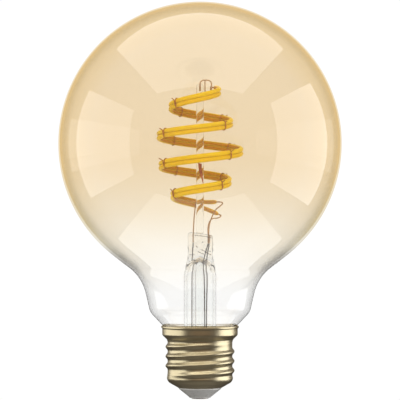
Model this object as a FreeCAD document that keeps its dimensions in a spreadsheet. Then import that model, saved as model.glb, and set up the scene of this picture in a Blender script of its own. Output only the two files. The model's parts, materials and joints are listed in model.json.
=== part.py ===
# Globe lamp with a screw cap: clear-to-amber glass globe, twin flexible LED
# filaments wound in a barrel-shaped spiral round a glass post, and a mains
# driver with a radio board inside the cap.
# Frame: +Z up along the lamp's axis, origin at the middle of the end contact's
# flat face, millimetres.
import FreeCAD, Part
import os, math
import Sketcher
from FreeCAD import Vector, Placement, Rotation

doc = FreeCAD.newDocument("globe_lamp")

# ---------------------------------------------------------------- dimensions
CELLS = [
    # globe
    ("globe_radius", 53.8), ("globe_centre_z", 96.9), ("glass_wall", 0.9),
    ("neck_a_z", 54.9), ("neck_b_r", 27.05), ("neck_b_z", 49.85), ("neck_c_r", 20.8),
    ("neck_c_z", 40.6), ("neck_d_r", 19.4), ("neck_d_z", 34.6), ("neck_e_r", 17.85),
    ("neck_e_z", 31.65), ("neck_foot_r", 14.35), ("neck_foot_z", 27.95), ("neck_a_arc", 208.458),
    ("neck_b_arc", 16.677), ("neck_c_arc", 130.008), ("neck_d_arc", 6.066), ("neck_e_arc", 579.249),
    ("neck_end_r", 11.3), ("neck_end_z", 20.2), ("neck_step_z", 23.6),
    # stem
    ("stem_r", 6.18), ("stem_wall", 1.0), ("stem_shoulder_z", 50.6),
    ("stem_top_z", 54.4), ("flare_r", 10.3), ("flare_z", 20.4),
    ("pinch_width", 9.4), ("pinch_depth", 4.2), ("pinch_height", 9.6),
    ("pinch_base_z", 53.2), ("pinch_round", 1.3),
    ("exhaust_r", 2.5), ("exhaust_bore_r", 1.6), ("exhaust_top_z", 52.9),
    ("exhaust_tip_z", 15.2),
    # post
    ("post_r", 1.43), ("post_base_z", 62.8), ("post_top_z", 119.6),
    ("hook_wire_r", 0.24), ("hook_span", 4.35), ("hook_crown_z", 120.95),
    ("hook_mid_x", 1.9), ("hook_mid_foot_z", 115.9),
    ("hook_foot_z", 116.8), ("hook_corner_r", 1.45),
    # filaments
    ("filament_r", 0.80), ("filament_pitch_gap", 1.70), ("tie_wire_r", 0.11),
    ("lead_wire_r", 0.22), ("tab_r", 0.26), ("tab_length", 1.5),
    # cap shell
    ("thread_major_r", 13.13), ("thread_root_r", 12.3), ("thread_pitch", 3.629),
    ("thread_phase_z", 17.9), ("thread_low_z", 8.5), ("thread_high_z", 21.6),
    ("shell_wall", 0.3), ("collar_r", 14.35), ("collar_low_z", 24.4),
    ("bead_r", 14.75), ("bead_low_z", 26.5), ("rim_z", 27.7),
    ("collar_neck_z", 22.5), ("shoulder_r", 12.55), ("shoulder_z", 8.0),
    ("shoulder_foot_r", 8.4), ("shoulder_foot_z", 4.2),
    # insulator and contact
    ("insulator_foot_r", 3.55), ("insulator_foot_z", 0.45),
    ("insulator_brow_r", 8.05), ("insulator_brow_z", 3.75),
    ("insulator_top_r", 10.4), ("insulator_top_z", 6.4),
    ("contact_r", 3.3), ("contact_thick", 0.55), ("contact_barrel_r", 1.6),
    ("contact_bore_r", 1.2), ("contact_barrel_z", 5.2),
    # driver
    ("sleeve_r", 11.75), ("sleeve_wall", 0.25), ("sleeve_low_z", 6.9),
    ("sleeve_high_z", 17.5),
    ("board_r", 11.2), ("board_thick", 1.0), ("board_z", 10.4),
    ("board_port_r", 1.7),
    ("radio_width", 14.0), ("radio_height", 8.6), ("radio_thick", 0.8),
    ("radio_y", 6.4),
    ("cap_can_r", 3.15), ("cap_can_height", 7.4),
    ("coil_core_r", 3.0), ("coil_core_height", 5.6),
    ("varistor_r", 3.0), ("varistor_thick", 2.4),
]
sheet = doc.addObject("Spreadsheet::Sheet", "Sheet")
for i, (name, value) in enumerate(CELLS, start=1):
    sheet.set("A%d" % i, name)
    sheet.set("B%d" % i, str(value))
    sheet.setAlias("B%d" % i, name)
doc.recompute()
D = {name: float(sheet.get(name)) for name, _ in CELLS}


class Q:
    """A number with the spreadsheet expression that gives it."""

    def __init__(self, value, text):
        self.v, self.e = value, text

    def _join(self, other, op, value):
        return Q(value, "(%s %s %s)" % (self.e, op, q(other).e))

    def __add__(self, o):
        return self._join(o, "+", self.v + q(o).v)

    def __radd__(self, o):
        return q(o) + self

    def __sub__(self, o):
        return self._join(o, "-", self.v - q(o).v)

    def __rsub__(self, o):
        return q(o) - self

    def __mul__(self, o):
        return self._join(o, "*", self.v * q(o).v)

    def __rmul__(self, o):
        return q(o) * self

    def __neg__(self):
        return Q(-self.v, "(-1 * %s)" % self.e)

    def __truediv__(self, o):
        return self._join(o, "/", self.v / q(o).v)


def q(x):
    return x if isinstance(x, Q) else Q(float(x), repr(float(x)))


def c(name):
    return Q(D[name], "Sheet." + name)


def bind(obj, prop, x):
    x = q(x)
    if "Sheet." in x.e:
        obj.setExpression(prop, x.e)
    else:
        parts = prop.split(".")
        if len(parts) == 1:
            setattr(obj, prop, x.v)


# ------------------------------------------------------------------ sketches
def draw(sketch, points):
    """Closed outline in the sketch. Each point is (x, z) or (x, z, radius), where radius bends the run to the next
    point: positive bulges to the left of the way it goes, negative to the right. Every corner is held by its x and z."""
    n = len(points)
    xy = [(q(p[0]), q(p[1])) for p in points]
    for i, p in enumerate(points):
        a = Vector(xy[i][0].v, xy[i][1].v, 0)
        b = Vector(xy[(i + 1) % n][0].v, xy[(i + 1) % n][1].v, 0)
        if len(p) == 3:
            r = q(p[2]).v
            mid, way = (a + b) * 0.5, (b - a)
            half = way.Length / 2
            left = Vector(-way.y, way.x, 0).normalize()
            sag = abs(r) - math.sqrt(max(r * r - half * half, 0.0))
            top = mid + left * (sag if r > 0 else -sag)
            sketch.addGeometry(Part.Arc(b, top, a) if r > 0 else Part.Arc(a, top, b), False)
        else:
            sketch.addGeometry(Part.LineSegment(a, b), False)

    # arcs are drawn counter-clockwise, so an arc's first point may be the run's last
    def ends(i):
        g = sketch.Geometry[i]
        a = Vector(xy[i][0].v, xy[i][1].v, 0)
        first = (g.StartPoint - a).Length < 1e-5
        return (1, 2) if first else (2, 1)

    for i in range(n):
        sketch.addConstraint(Sketcher.Constraint("Coincident", i, ends(i)[1], (i + 1) % n, ends((i + 1) % n)[0]))
    for i in range(n):
        s = ends(i)[0]
        for axis, val in (("X", xy[i][0]), ("Y", xy[i][1])):
            if abs(val.v) < 1e-9:
                line = -2 if axis == "X" else -1
                sketch.addConstraint(Sketcher.Constraint("PointOnObject", i, s, line))
            else:
                k = sketch.addConstraint(Sketcher.Constraint("Distance" + axis, -1, 1, i, s, val.v))
                if "Sheet." in val.e:
                    sketch.renameConstraint(k, "p%d%s" % (i, axis.lower()))
                    sketch.setExpression("Constraints.p%d%s" % (i, axis.lower()), val.e)
        if len(points[i]) == 3:
            r = q(points[i][2])
            k = sketch.addConstraint(Sketcher.Constraint("Radius", i, abs(r.v)))
            if "Sheet." in r.e:
                sketch.renameConstraint(k, "arc%d" % i)
                sketch.setExpression("Constraints.arc%d" % i, "abs(%s)" % r.e)


def plane_of(body, role):
    return next(f for f in body.Origin.OriginFeatures if f.Role == role)


def turned(label, points):
    """A PartDesign body turned about Z from an outline in the XZ plane."""
    body = doc.addObject("PartDesign::Body", label + "_body")
    body.Label = label
    sketch = body.newObject("Sketcher::SketchObject", label + "_outline")
    sketch.AttachmentSupport = [(plane_of(body, "XZ_Plane"), "")]
    sketch.MapMode = "FlatFace"
    draw(sketch, points)
    doc.recompute()
    rev = body.newObject("PartDesign::Revolution", label + "_turn")
    rev.Profile = sketch
    rev.ReferenceAxis = (sketch, ["V_Axis"])
    rev.Angle = 360
    body.Tip = rev
    doc.recompute()
    return body


def box(label, size, centre, turn=0.0):
    """Part::Box with its size bound to the sheet, its middle at centre, turned about Z."""
    b = doc.addObject("Part::Box", label)
    b.Label = label
    for prop, s in zip(("Length", "Width", "Height"), size):
        bind(b, prop, s)
    rot = Rotation(Vector(0, 0, 1), turn)
    off = rot.multVec(Vector(-q(size[0]).v / 2, -q(size[1]).v / 2, -q(size[2]).v / 2))
    b.Placement = Placement(Vector(*[q(x).v for x in centre]) + off, rot)
    return b


def cyl(label, radius, height, foot, way=(0, 0, 1)):
    """Part::Cylinder from its foot along way."""
    b = doc.addObject("Part::Cylinder", label)
    b.Label = label
    bind(b, "Radius", radius)
    bind(b, "Height", height)
    b.Placement = Placement(Vector(*[q(x).v for x in foot]), Rotation(Vector(0, 0, 1), Vector(*way)))
    return b


def fuse(label, *objs):
    f = doc.addObject("Part::MultiFuse", label)
    f.Label = label
    f.Shapes = list(objs)
    return f


def cut(label, base, tool):
    f = doc.addObject("Part::Cut", label)
    f.Label = label
    f.Base, f.Tool = base, tool
    return f


def group(label, objs):
    g = doc.addObject("Part::Compound", label)
    g.Label = label
    g.Links = list(objs)
    return g


def feature(label, shape):
    f = doc.addObject("Part::Feature", label)
    f.Label = label
    f.Shape = shape
    f.Placement = Placement()
    return f


# ------------------------------------------------------------- wires and tubes
def line_of(points, closed=False):
    s = Part.BSplineCurve()
    s.interpolate([Vector(*p) for p in points], PeriodicFlag=closed)
    return Part.Wire([s.toShape()])


def swept(wire, radius):
    """Round wire along a line, by whichever frame rule gives the right volume."""
    edge = wire.Edges[0]
    start, way = edge.valueAt(edge.FirstParameter), edge.tangentAt(edge.FirstParameter)
    want = math.pi * radius ** 2 * wire.Length
    best = None
    for frenet in (False, True):
        ring = Part.Wire([Part.Circle(start, way, radius).toShape()])
        pipe = Part.BRepOffsetAPI.MakePipeShell(wire)
        pipe.setFrenetMode(frenet)
        pipe.add(ring)
        pipe.build()
        pipe.makeSolid()
        solid = pipe.shape()
        if solid.ShapeType != "Solid":
            solid = solid.Solids[0]
        if solid.Volume < 0:
            solid.reverse()
        miss = abs(solid.Volume / want - 1)
        if solid.isValid() and miss < 0.012:
            return solid
        if solid.isValid() and (best is None or miss < best[0]):
            best = (miss, solid)
    if best is None or best[0] > 0.03:
        raise RuntimeError("a swept wire came out wrong: %s for %g" % (best and best[1].Volume, want))
    return best[1]


def smooth(knots, x):
    """Monotone-friendly cubic through (x, value) knots."""
    xs, ys = [k[0] for k in knots], [k[1] for k in knots]
    n = len(xs)
    d = [(ys[i + 1] - ys[i]) / (xs[i + 1] - xs[i]) for i in range(n - 1)]
    m = [d[0]] + [0.0] * (n - 2) + [d[-1]]
    for i in range(1, n - 1):
        m[i] = 0.0 if d[i - 1] * d[i] <= 0 else 2 * d[i - 1] * d[i] / (d[i - 1] + d[i])
    x = min(max(x, xs[0]), xs[-1])
    i = max(k for k in range(n - 1) if xs[k] <= x)
    h = xs[i + 1] - xs[i]
    u = (x - xs[i]) / h
    return (
        ys[i] * (1 + 2 * u) * (1 - u) ** 2
        + m[i] * h * u * (1 - u) ** 2
        + ys[i + 1] * u * u * (3 - 2 * u)
        + m[i + 1] * h * u * u * (u - 1)
    )


# --------------------------------------------------------------- glass globe
g_r, g_z, wall = c("globe_radius"), c("globe_centre_z"), c("glass_wall")


def on_sphere(radius, z):
    return math.sqrt(radius ** 2 - (z - D["globe_centre_z"]) ** 2)


neck_a_r = Q(on_sphere(D["globe_radius"], D["neck_a_z"]), "sqrt(Sheet.globe_radius ^ 2 - (Sheet.neck_a_z - Sheet.globe_centre_z) ^ 2)")


def globe_outline():
    """Outer line from the crown down to the neck's end, then back up inside it. Every run is tangent to the one before, and the inner line is the outer one moved in by the wall."""
    return [
        (0, g_z + g_r, g_r),
        (neck_a_r, c("neck_a_z"), c("neck_a_arc")),
        (c("neck_b_r"), c("neck_b_z"), -c("neck_b_arc")),
        (c("neck_c_r"), c("neck_c_z"), -c("neck_c_arc")),
        (c("neck_d_r"), c("neck_d_z"), c("neck_d_arc")),
        (c("neck_e_r"), c("neck_e_z"), -c("neck_e_arc")),
        (c("neck_foot_r"), c("neck_foot_z")),
        (c("neck_end_r") + 0.9, c("neck_step_z") + 1.2),
        (c("neck_end_r"), c("neck_step_z")),
        (c("neck_end_r"), c("neck_end_z")),
        (c("neck_end_r") - wall, c("neck_end_z")),
        (c("neck_end_r") - wall, c("neck_step_z") + 0.2),
        (c("neck_end_r") - 0.05, c("neck_step_z") + 1.75),
        (c("neck_foot_r") - 0.657, c("neck_foot_z") + 0.616, (c("neck_e_arc") + wall)),
        (c("neck_e_r") - 0.651, c("neck_e_z") + 0.621, -(c("neck_d_arc") - wall)),
        (c("neck_d_r") - 0.881, c("neck_d_z") + 0.184, (c("neck_c_arc") + wall)),
        (c("neck_c_r") - 0.871, c("neck_c_z") + 0.225, (c("neck_b_arc") + wall)),
        (c("neck_b_r") - 0.534, c("neck_b_z") + 0.724, -(c("neck_a_arc") - wall)),
        (neck_a_r * ((g_r - wall) / g_r), g_z + (c("neck_a_z") - g_z) * ((g_r - wall) / g_r), -(g_r - wall)),
        (0, g_z + g_r - wall),
    ]


globe = turned("glass_globe", globe_outline())

# ---------------------------------------------------------------- glass stem
sr, sw = c("stem_r"), c("stem_wall")
stem_tube = turned("stem_tube_blank", [
    (0, c("stem_top_z")),
    (2.6, c("stem_top_z"), 4.6),
    (sr, c("stem_shoulder_z")),
    (sr, 26.2, -5.4),
    (c("flare_r"), c("flare_z")),
    (c("flare_r") - 1.05, c("flare_z") - 0.25, 6.3),
    (sr - sw, 26.4),
    (sr - sw, c("stem_shoulder_z") - 0.2, -3.6),
    (2.2, c("stem_top_z") - 1.35),
    (0, c("stem_top_z") - 1.35),
])
press = doc.addObject("Part::Box", "pinch_block")
for prop, s in (("Length", c("pinch_width")), ("Width", c("pinch_depth")), ("Height", c("pinch_height"))):
    bind(press, prop, s)
press.Placement = Placement(Vector(-D["pinch_width"] / 2 + 0.15, -D["pinch_depth"] / 2, D["pinch_base_z"]), Rotation())
slope = doc.addObject("Part::Box", "pinch_slope")
slope.Length, slope.Width, slope.Height = 16, 8, 6
slope.Placement = Placement(Vector(-4.1, -4, D["pinch_base_z"] + D["pinch_height"] - 0.1), Rotation(Vector(0, 1, 0), 14))
press_cut = cut("pinch_sloped", press, slope)
doc.recompute()
rounded = press_cut.Shape.makeFillet(D["pinch_round"], [e for e in press_cut.Shape.Edges if abs(e.BoundBox.ZLength - e.Length) < 1e-6 and e.Length > 3])
tops = [e for e in rounded.Edges if e.BoundBox.ZMin > D["pinch_base_z"] + 4 and e.BoundBox.ZLength < 3]
try:
    softer = rounded.makeFillet(0.7, tops)
    rounded = softer if softer.isValid() else rounded
except Exception:
    pass
pinch = feature("pinch_rounded", rounded)
stem_blank = fuse("stem_blank", stem_tube, pinch)

exhaust = turned("exhaust_tube", [
    (0, c("exhaust_tip_z")),
    (0.7, c("exhaust_tip_z") + 0.15, -2.4),
    (c("exhaust_r"), c("exhaust_tip_z") + 3.4),
    (c("exhaust_r"), c("exhaust_top_z") - 0.05),
    (c("exhaust_bore_r"), c("exhaust_top_z") - 0.05),
    (c("exhaust_bore_r"), c("exhaust_tip_z") + 3.6, 2.4),
    (0, c("exhaust_tip_z") + 1.2),
])

post_blank = turned("centre_post_blank", [
    (0, c("post_base_z") - 5.2),
    (c("post_r") - 0.35, c("post_base_z") - 5.2),
    (c("post_r") - 0.35, c("post_base_z") - 0.15),
    (c("post_r"), c("post_base_z") + 0.35),
    (c("post_r"), c("post_top_z") - 0.9, 1.0),
    (0.55, c("post_top_z")),
    (0, c("post_top_z")),
])

# --------------------------------------------------------- filament centrelines
# t counts half turns from the right-hand side of the top turn; the coil runs down
# clockwise seen from above. Radii and heights of the pair's middle line.
COIL_R = [(-0.42, 6.7), (0, 7.15), (1, 11.1), (2, 11.75), (3, 15.6), (4, 15.6), (5, 14.9), (6, 11.2), (7, 10.4), (7.9, 9.2)]
COIL_Z = [(-0.42, 118.0), (0, 116.85), (1, 110.8), (2, 104.85), (3, 99.6), (4, 93.75), (5, 88.05), (6, 82.2), (7, 76.75), (7.45, 73.85), (7.9, 72.0)]
half_gap = D["filament_pitch_gap"] / 2
T_TOP, T_WARM_END, T_COOL_END = -0.22, 7.77, 7.74


def coil(t, lift):
    r, z = smooth(COIL_R, t), smooth(COIL_Z, t) + lift
    a = -math.pi * t
    return (r * math.cos(a), r * math.sin(a), z)


def strand(t, upper):
    """Middle of one strand. The two part company after t = 7.35: the upper runs level, the lower drops."""
    x, y, z = coil(t, half_gap if upper else -half_gap)
    split = 7.3
    if t > split:
        k = min((t - split) / 0.45, 1.0)
        k = k * k * (3 - 2 * k)
        if upper:
            z = z * (1 - k) + 74.35 * k
        else:
            z = z - 1.9 * k * (t - split) / 0.45
    return (x, y, z)


def strand_path(upper):
    end = T_COOL_END if upper else T_WARM_END
    n = 74
    return [strand(T_TOP + (end - T_TOP) * i / n, upper) for i in range(n + 1)]


warm_path, cool_path = strand_path(False), strand_path(True)
fil_r = D["filament_r"]
warm_wire, cool_wire = line_of(warm_path), line_of(cool_path)
feature("filament_warm", swept(warm_wire, fil_r))
feature("filament_cool", swept(cool_wire, fil_r))


def end_tab(wire, at_start, length):
    """Thin metal end piece that carries on from a strand's end face."""
    e = wire.Edges[0]
    k = e.FirstParameter if at_start else e.LastParameter
    p, way = e.valueAt(k), e.tangentAt(k)
    if at_start:
        way = way * -1
    tab = Part.makeCylinder(D["tab_r"], length, p, way)
    return tab, p + way * length, way


tabs = {}
for name, wire in (("warm", warm_wire), ("cool", cool_wire)):
    for where, first in (("top", True), ("bottom", False)):
        tabs[name, where] = end_tab(wire, first, D["tab_length"])
feature("warm_end_tabs", Part.makeCompound([tabs["warm", "top"][0], tabs["warm", "bottom"][0]]))
feature("cool_end_tabs", Part.makeCompound([tabs["cool", "top"][0], tabs["cool", "bottom"][0]]))

# ------------------------------------------------------------------ tie wires
TIES = [0.80, 1.27, 1.76, 2.25, 2.82, 3.27, 3.76, 4.25, 4.82, 5.27, 5.76, 6.25, 6.84]


def tie_frame(t):
    """(middle, along, outward, upward) of the pair at t."""
    a, b = Vector(*coil(t - 0.01, 0)), Vector(*coil(t + 0.01, 0))
    mid = Vector(*coil(t, 0))
    along = (b - a).normalize()
    out = Vector(mid.x, mid.y, 0).normalize()
    out = (out - along * out.dot(along)).normalize()
    up = along.cross(out)
    if up.z < 0:
        up = up * -1
    return mid, along, out, up


def tie(t, k):
    """A loop of fine wire round both strands, its twisted end standing off the outside."""
    mid, along, out, up = tie_frame(t)
    r = fil_r + D["tie_wire_r"] + 0.035

    def at(u, v):
        return mid + out * u + up * v

    top, low = at(0, half_gap), at(0, -half_gap)
    parts = [
        Part.Arc(at(r, half_gap), top + up * r, at(-r, half_gap)).toShape(),
        Part.LineSegment(at(-r, half_gap), at(-r, -half_gap)).toShape(),
        Part.Arc(at(-r, -half_gap), low - up * r, at(r, -half_gap)).toShape(),
        Part.LineSegment(at(r, -half_gap), at(r, half_gap)).toShape(),
    ]
    loop = Part.Wire(parts)
    ring = Part.Wire([Part.Circle(at(r, half_gap), up, D["tie_wire_r"]).toShape()])
    solid = loop.makePipeShell([ring], True, False)
    if solid.Volume < 0:
        solid.reverse()
    lean = (out * 1.0 + up * (0.45 if k % 2 else -0.35) + along * 0.25).normalize()
    tail = Part.makeCylinder(D["tie_wire_r"] * 1.25, 1.35, at(r - 0.04, -half_gap * 0.35), lean)
    both = solid.fuse(tail).removeSplitter()
    s = both.Solids[0]
    if not s.isValid():
        raise RuntimeError("a tie came out wrong")
    return s


feature("filament_ties", Part.makeCompound([tie(t, k) for k, t in enumerate(TIES)]))

# ------------------------------------------------------------------ top hook
hr = D["hook_wire_r"]
span, crown, foot, cr = D["hook_span"], D["hook_crown_z"], D["hook_foot_z"], D["hook_corner_r"]
tab_end = tabs["cool", "top"][1]
tab_way = tabs["cool", "top"][2]
k45 = math.sqrt(0.5)


top_mid = (tabs["cool", "top"][1].z + tabs["warm", "top"][1].z) / 2
bar_y = (tabs["cool", "top"][1].y + tabs["warm", "top"][1].y) / 2 + 0.2


def arc3(a, m, b):
    return Part.Arc(Vector(*a), Vector(*m), Vector(*b)).toShape()


def seg(a, b):
    return Part.LineSegment(Vector(*a), Vector(*b)).toShape()


hook_line = Part.Wire([
    seg((0, 0, foot), (0, 0, crown - cr)),
    arc3((0, 0, crown - cr), (cr - cr * k45, 0, crown - cr + cr * k45), (cr, 0, crown)),
    seg((cr, 0, crown), (span - cr, 0, crown)),
    arc3((span - cr, 0, crown), (span - cr + cr * k45, 0, crown - cr + cr * k45), (span, 0, crown - cr)),
    seg((span, 0, crown - cr), (span, 0, top_mid + 1.2)),
    arc3((span, 0, top_mid + 1.2), (span, 1.2 * (1 - k45), top_mid + 1.2 - 1.2 * k45), (span, 1.2, top_mid)),
    seg((span, 1.2, top_mid), (span, bar_y, top_mid)),
])
hook = hook_line.makePipeShell([Part.Wire([Part.Circle(Vector(0, 0, foot), Vector(0, 0, 1), hr).toShape()])], True, False)
if hook.Volume < 0:
    hook.reverse()
bar = Part.makeCylinder(hr, 2.3, Vector(span - 0.28, bar_y, top_mid - 1.15))
mid_leg = Part.makeCylinder(hr * 0.9, crown - D["hook_mid_foot_z"], Vector(D["hook_mid_x"], 0, D["hook_mid_foot_z"]))
hook_all = hook.Solids[0].fuse(bar).fuse(mid_leg).removeSplitter().Solids[0]
feature("top_hook", hook_all)

# copper tag clipped on the front of the post, drawn out to a point at its foot
tag_line = [(-0.78, 89.35), (0.62, 88.95), (0.72, 87.2), (1.02, 84.4), (1.36, 81.5), (1.16, 81.3), (0.45, 83.6), (-0.42, 86.2)]
tag_pts = [Vector(x, -D["post_r"] - 0.02, z) for x, z in tag_line]
tag_face = Part.Face(Part.makePolygon(tag_pts + [tag_pts[0]]))
feature("post_tag", tag_face.extrude(Vector(0, -0.28, 0)))

# ------------------------------------------------------------------ lead wires
lr = D["lead_wire_r"]
orbit = D["post_r"] + lr + 0.03


def round_post(angle, z, r=None):
    a = math.radians(angle)
    r = orbit if r is None else r
    return (r * math.cos(a), r * math.sin(a), z)


PINCH_TOP = D["pinch_base_z"] + D["pinch_height"]
common_path = [
    (-2.55, 0.0, 59.2), (-2.55, 0.0, 61.2), (-2.52, 0.1, 63.3), (-2.38, 1.2, 66.2), (-2.2, 3.1, 69.0),
    (-1.95, 5.5, 71.4), (-1.75, 7.6, 72.9), (-1.62, 8.88, 73.85),
]
warm_tip, warm_way = tabs["warm", "bottom"][1], tabs["warm", "bottom"][2]
cool_tip, cool_way = tabs["cool", "bottom"][1], tabs["cool", "bottom"][2]


def tipped(p, way, back, aside=(0, 0, 0)):
    v = p + way * back + Vector(*aside)
    return (v.x, v.y, v.z)


warm_lead_path = [
    (3.05, -0.62, 58.8), (3.05, -0.62, 60.6), (3.05, -0.6, 62.4), (3.1, -0.4, 65.2), (3.75, 0.3, 67.1), (4.9, 1.8, 68.1), (6.1, 3.0, 68.2),
    tipped(warm_tip, warm_way, 0.24, (0.0, 0.0, -0.08)),
]
cool_lead_path = [
    (3.35, 0.62, 58.8), (3.35, 0.62, 60.6), (3.35, 0.64, 62.4), (3.5, 1.1, 65.3), (4.2, 2.1, 67.8), (5.1, 3.2, 69.9), (6.2, 3.8, 71.6),
    (7.8, 4.1, 72.9), (8.55, 4.4, 73.7), tipped(cool_tip, cool_way, 0.24, (0.02, 0.0, -0.05)),
]
inner = {
    "common_inner_lead": common_path,
    "warm_inner_lead": warm_lead_path,
    "cool_inner_lead": cool_lead_path,
}
for name, path in inner.items():
    feature(name, swept(line_of(path), lr))

# short seal wires, gripped in the pinch below the inner leads
SEALS = [(-2.55, 0.0, 59.2), (3.05, -0.62, 58.8), (3.35, 0.62, 58.8)]
SEAL_FEET = [(-2.8, 0.0, 53.0), (1.35, -2.4, 53.0), (2.45, -1.25, 53.0)]
seal_shapes = []
for head, low in zip(SEALS, SEAL_FEET):
    a, b = Vector(*low), Vector(*head)
    way = (b - a).normalize()
    seal_shapes.append(Part.makeCylinder(0.2, (b - a).Length - 0.12, a, way))
feature("seal_wires", Part.makeCompound(seal_shapes))

# outer leads, from the pinch down the stem to the driver board
outer = {
    "common_outer_lead": [(-2.8, 0.0, 52.9), (-2.95, 0.0, 50.0), (-3.05, -0.05, 40.0), (-3.05, -0.1, 26.0), (-3.1, -0.2, 20.0), (-3.6, -0.6, 15.0), (-4.0, -0.8, 11.55)],
    "warm_outer_lead": [(1.35, -2.4, 52.9), (1.35, -2.55, 51.0), (1.5, -3.1, 47.0), (1.65, -3.3, 38.0), (1.75, -3.3, 26.0), (1.8, -3.4, 19.0), (1.6, -4.0, 14.0), (1.4, -4.3, 11.55)],
    "cool_outer_lead": [(2.45, -1.25, 52.9), (2.5, -1.5, 51.0), (2.6, -2.3, 47.5), (2.45, -3.2, 38.0), (2.3, -3.3, 26.0), (2.5, -3.5, 19.0), (3.3, -3.9, 14.0), (3.6, -4.2, 11.55)],
}
for name, path in outer.items():
    feature(name, swept(line_of(path), 0.2))

# glass closes round the wires that pass through it
stem_tools = group("stem_wire_paths", [doc.getObject(n) for n in ("common_inner_lead", "warm_inner_lead", "cool_inner_lead", "seal_wires")])
doc.recompute()
socket = cyl("post_socket", c("post_r") - 0.35, 5.05, (0, 0, c("post_base_z") - 5.2))
stem_tools2 = fuse("stem_bores", stem_tools, socket, group("outer_paths", [doc.getObject(n) for n in outer]))
cut("glass_stem", stem_blank, stem_tools2)
cut("centre_post", post_blank, doc.getObject("top_hook"))
doc.recompute()

# ------------------------------------------------------------------ cap shell
cap_sketch = doc.addObject("Sketcher::SketchObject", "cap_outer_outline")
cap_sketch.Placement = Placement(Vector(0, 0, 0), Rotation(Vector(1, 0, 0), 90))
draw(cap_sketch, [
    (0, c("shoulder_foot_z")),
    (c("shoulder_foot_r"), c("shoulder_foot_z")),
    (11.02, 5.7, -2.6),
    (c("shoulder_r"), c("shoulder_z") - 0.2),
    (c("thread_root_r"), c("thread_low_z") + 0.4),
    (c("thread_root_r"), c("collar_neck_z") - 1.0),
    (c("thread_root_r") + 0.32, c("collar_neck_z")),
    (c("collar_r") - 0.35, c("collar_low_z") - 0.55, -0.9),
    (c("collar_r"), c("collar_low_z") + 0.2),
    (c("collar_r"), c("bead_low_z"), 0.45),
    (c("bead_r"), c("bead_low_z") + 0.45),
    (c("bead_r"), c("rim_z") - 0.4, -0.4),
    (c("bead_r") - 0.4, c("rim_z")),
    (0, c("rim_z")),
])
cap_core = doc.addObject("Part::Revolution", "cap_core")
cap_core.Source = cap_sketch
cap_core.Axis, cap_core.Base, cap_core.Angle, cap_core.Solid = Vector(0, 0, 1), Vector(0, 0, 0), 360.0, True
cap_core.Symmetric = False

pitch, phase = D["thread_pitch"], D["thread_phase_z"]
a0 = (D["thread_low_z"] - phase) / pitch * 2 * math.pi
a1 = (D["thread_high_z"] - phase) / pitch * 2 * math.pi
fade = 0.42 * 2 * math.pi
depth = D["thread_major_r"] - D["thread_root_r"]


def thread_point(a):
    sunk = 0.0
    for far in (a - a0, a1 - a):
        if far < fade:
            k = 1 - far / fade
            sunk = max(sunk, k * k * (3 - 2 * k) * (depth + 0.12))
    r = D["thread_root_r"] - sunk
    return (r * math.cos(a), r * math.sin(a), phase + pitch * a / (2 * math.pi))


steps = 96
thread_line = line_of([thread_point(a0 + (a1 - a0) * i / steps) for i in range(steps + 1)])
te = thread_line.Edges[0]
p0 = te.valueAt(te.FirstParameter)
out0 = Vector(p0.x, p0.y, 0).normalize()
RIDGE = [(-0.75, -1.2), (-0.02, -1.2), (0.1, -0.98), (0.36, -0.66), (0.68, -0.32), (0.83, 0.0), (0.68, 0.32), (0.36, 0.66), (0.1, 0.98), (-0.02, 1.2), (-0.75, 1.2)]


def ridge_at(u, v):
    return p0 + out0 * (u * (depth / 0.83 if u > 0 else 1.0)) + Vector(0, 0, v)


curve = Part.BSplineCurve()
curve.interpolate([ridge_at(u, v) for u, v in RIDGE[1:-1]])
ridge_face = Part.Wire([
    Part.LineSegment(ridge_at(*RIDGE[0]), ridge_at(*RIDGE[1])).toShape(),
    curve.toShape(),
    Part.LineSegment(ridge_at(*RIDGE[-2]), ridge_at(*RIDGE[-1])).toShape(),
    Part.LineSegment(ridge_at(*RIDGE[-1]), ridge_at(*RIDGE[0])).toShape(),
])
sweep = Part.BRepOffsetAPI.MakePipeShell(thread_line)
sweep.setBiNormalMode(Vector(0, 0, 1))
sweep.add(ridge_face)
sweep.build()
sweep.makeSolid()
ridge = sweep.shape()
if ridge.Volume < 0:
    ridge.reverse()
thread_ridge = feature("thread_ridge", ridge)

cap_full = fuse("cap_with_thread", cap_core, thread_ridge)

bore_sketch = doc.addObject("Sketcher::SketchObject", "cap_inner_outline")
bore_sketch.Placement = Placement(Vector(0, 0, 0), Rotation(Vector(1, 0, 0), 90))
sh = c("shell_wall")
draw(bore_sketch, [
    (0, 3.9),
    (c("shoulder_foot_r") - 0.1, 3.9),
    (c("shoulder_foot_r") - 0.1, c("shoulder_foot_z") + 0.3),
    (10.85, 5.98, -2.4),
    (c("shoulder_r") - sh, c("shoulder_z")),
    (c("thread_root_r") - sh, c("thread_low_z") + 0.4),
    (c("thread_root_r") - sh, c("collar_neck_z") - 0.8),
    (c("thread_root_r") - sh + 0.22, c("collar_neck_z") + 0.12),
    (c("collar_r") - sh, c("collar_low_z") - 0.05),
    (c("collar_r") - sh, c("bead_low_z") + 0.1),
    (c("bead_r") - sh, c("bead_low_z") + 0.5),
    (c("bead_r") - sh, 28.2),
    (0, 28.2),
])
cap_bore = doc.addObject("Part::Revolution", "cap_bore")
cap_bore.Source = bore_sketch
cap_bore.Axis, cap_bore.Base, cap_bore.Angle, cap_bore.Solid = Vector(0, 0, 1), Vector(0, 0, 0), 360.0, True
cut("cap_shell", cap_full, cap_bore)
doc.recompute()

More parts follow.
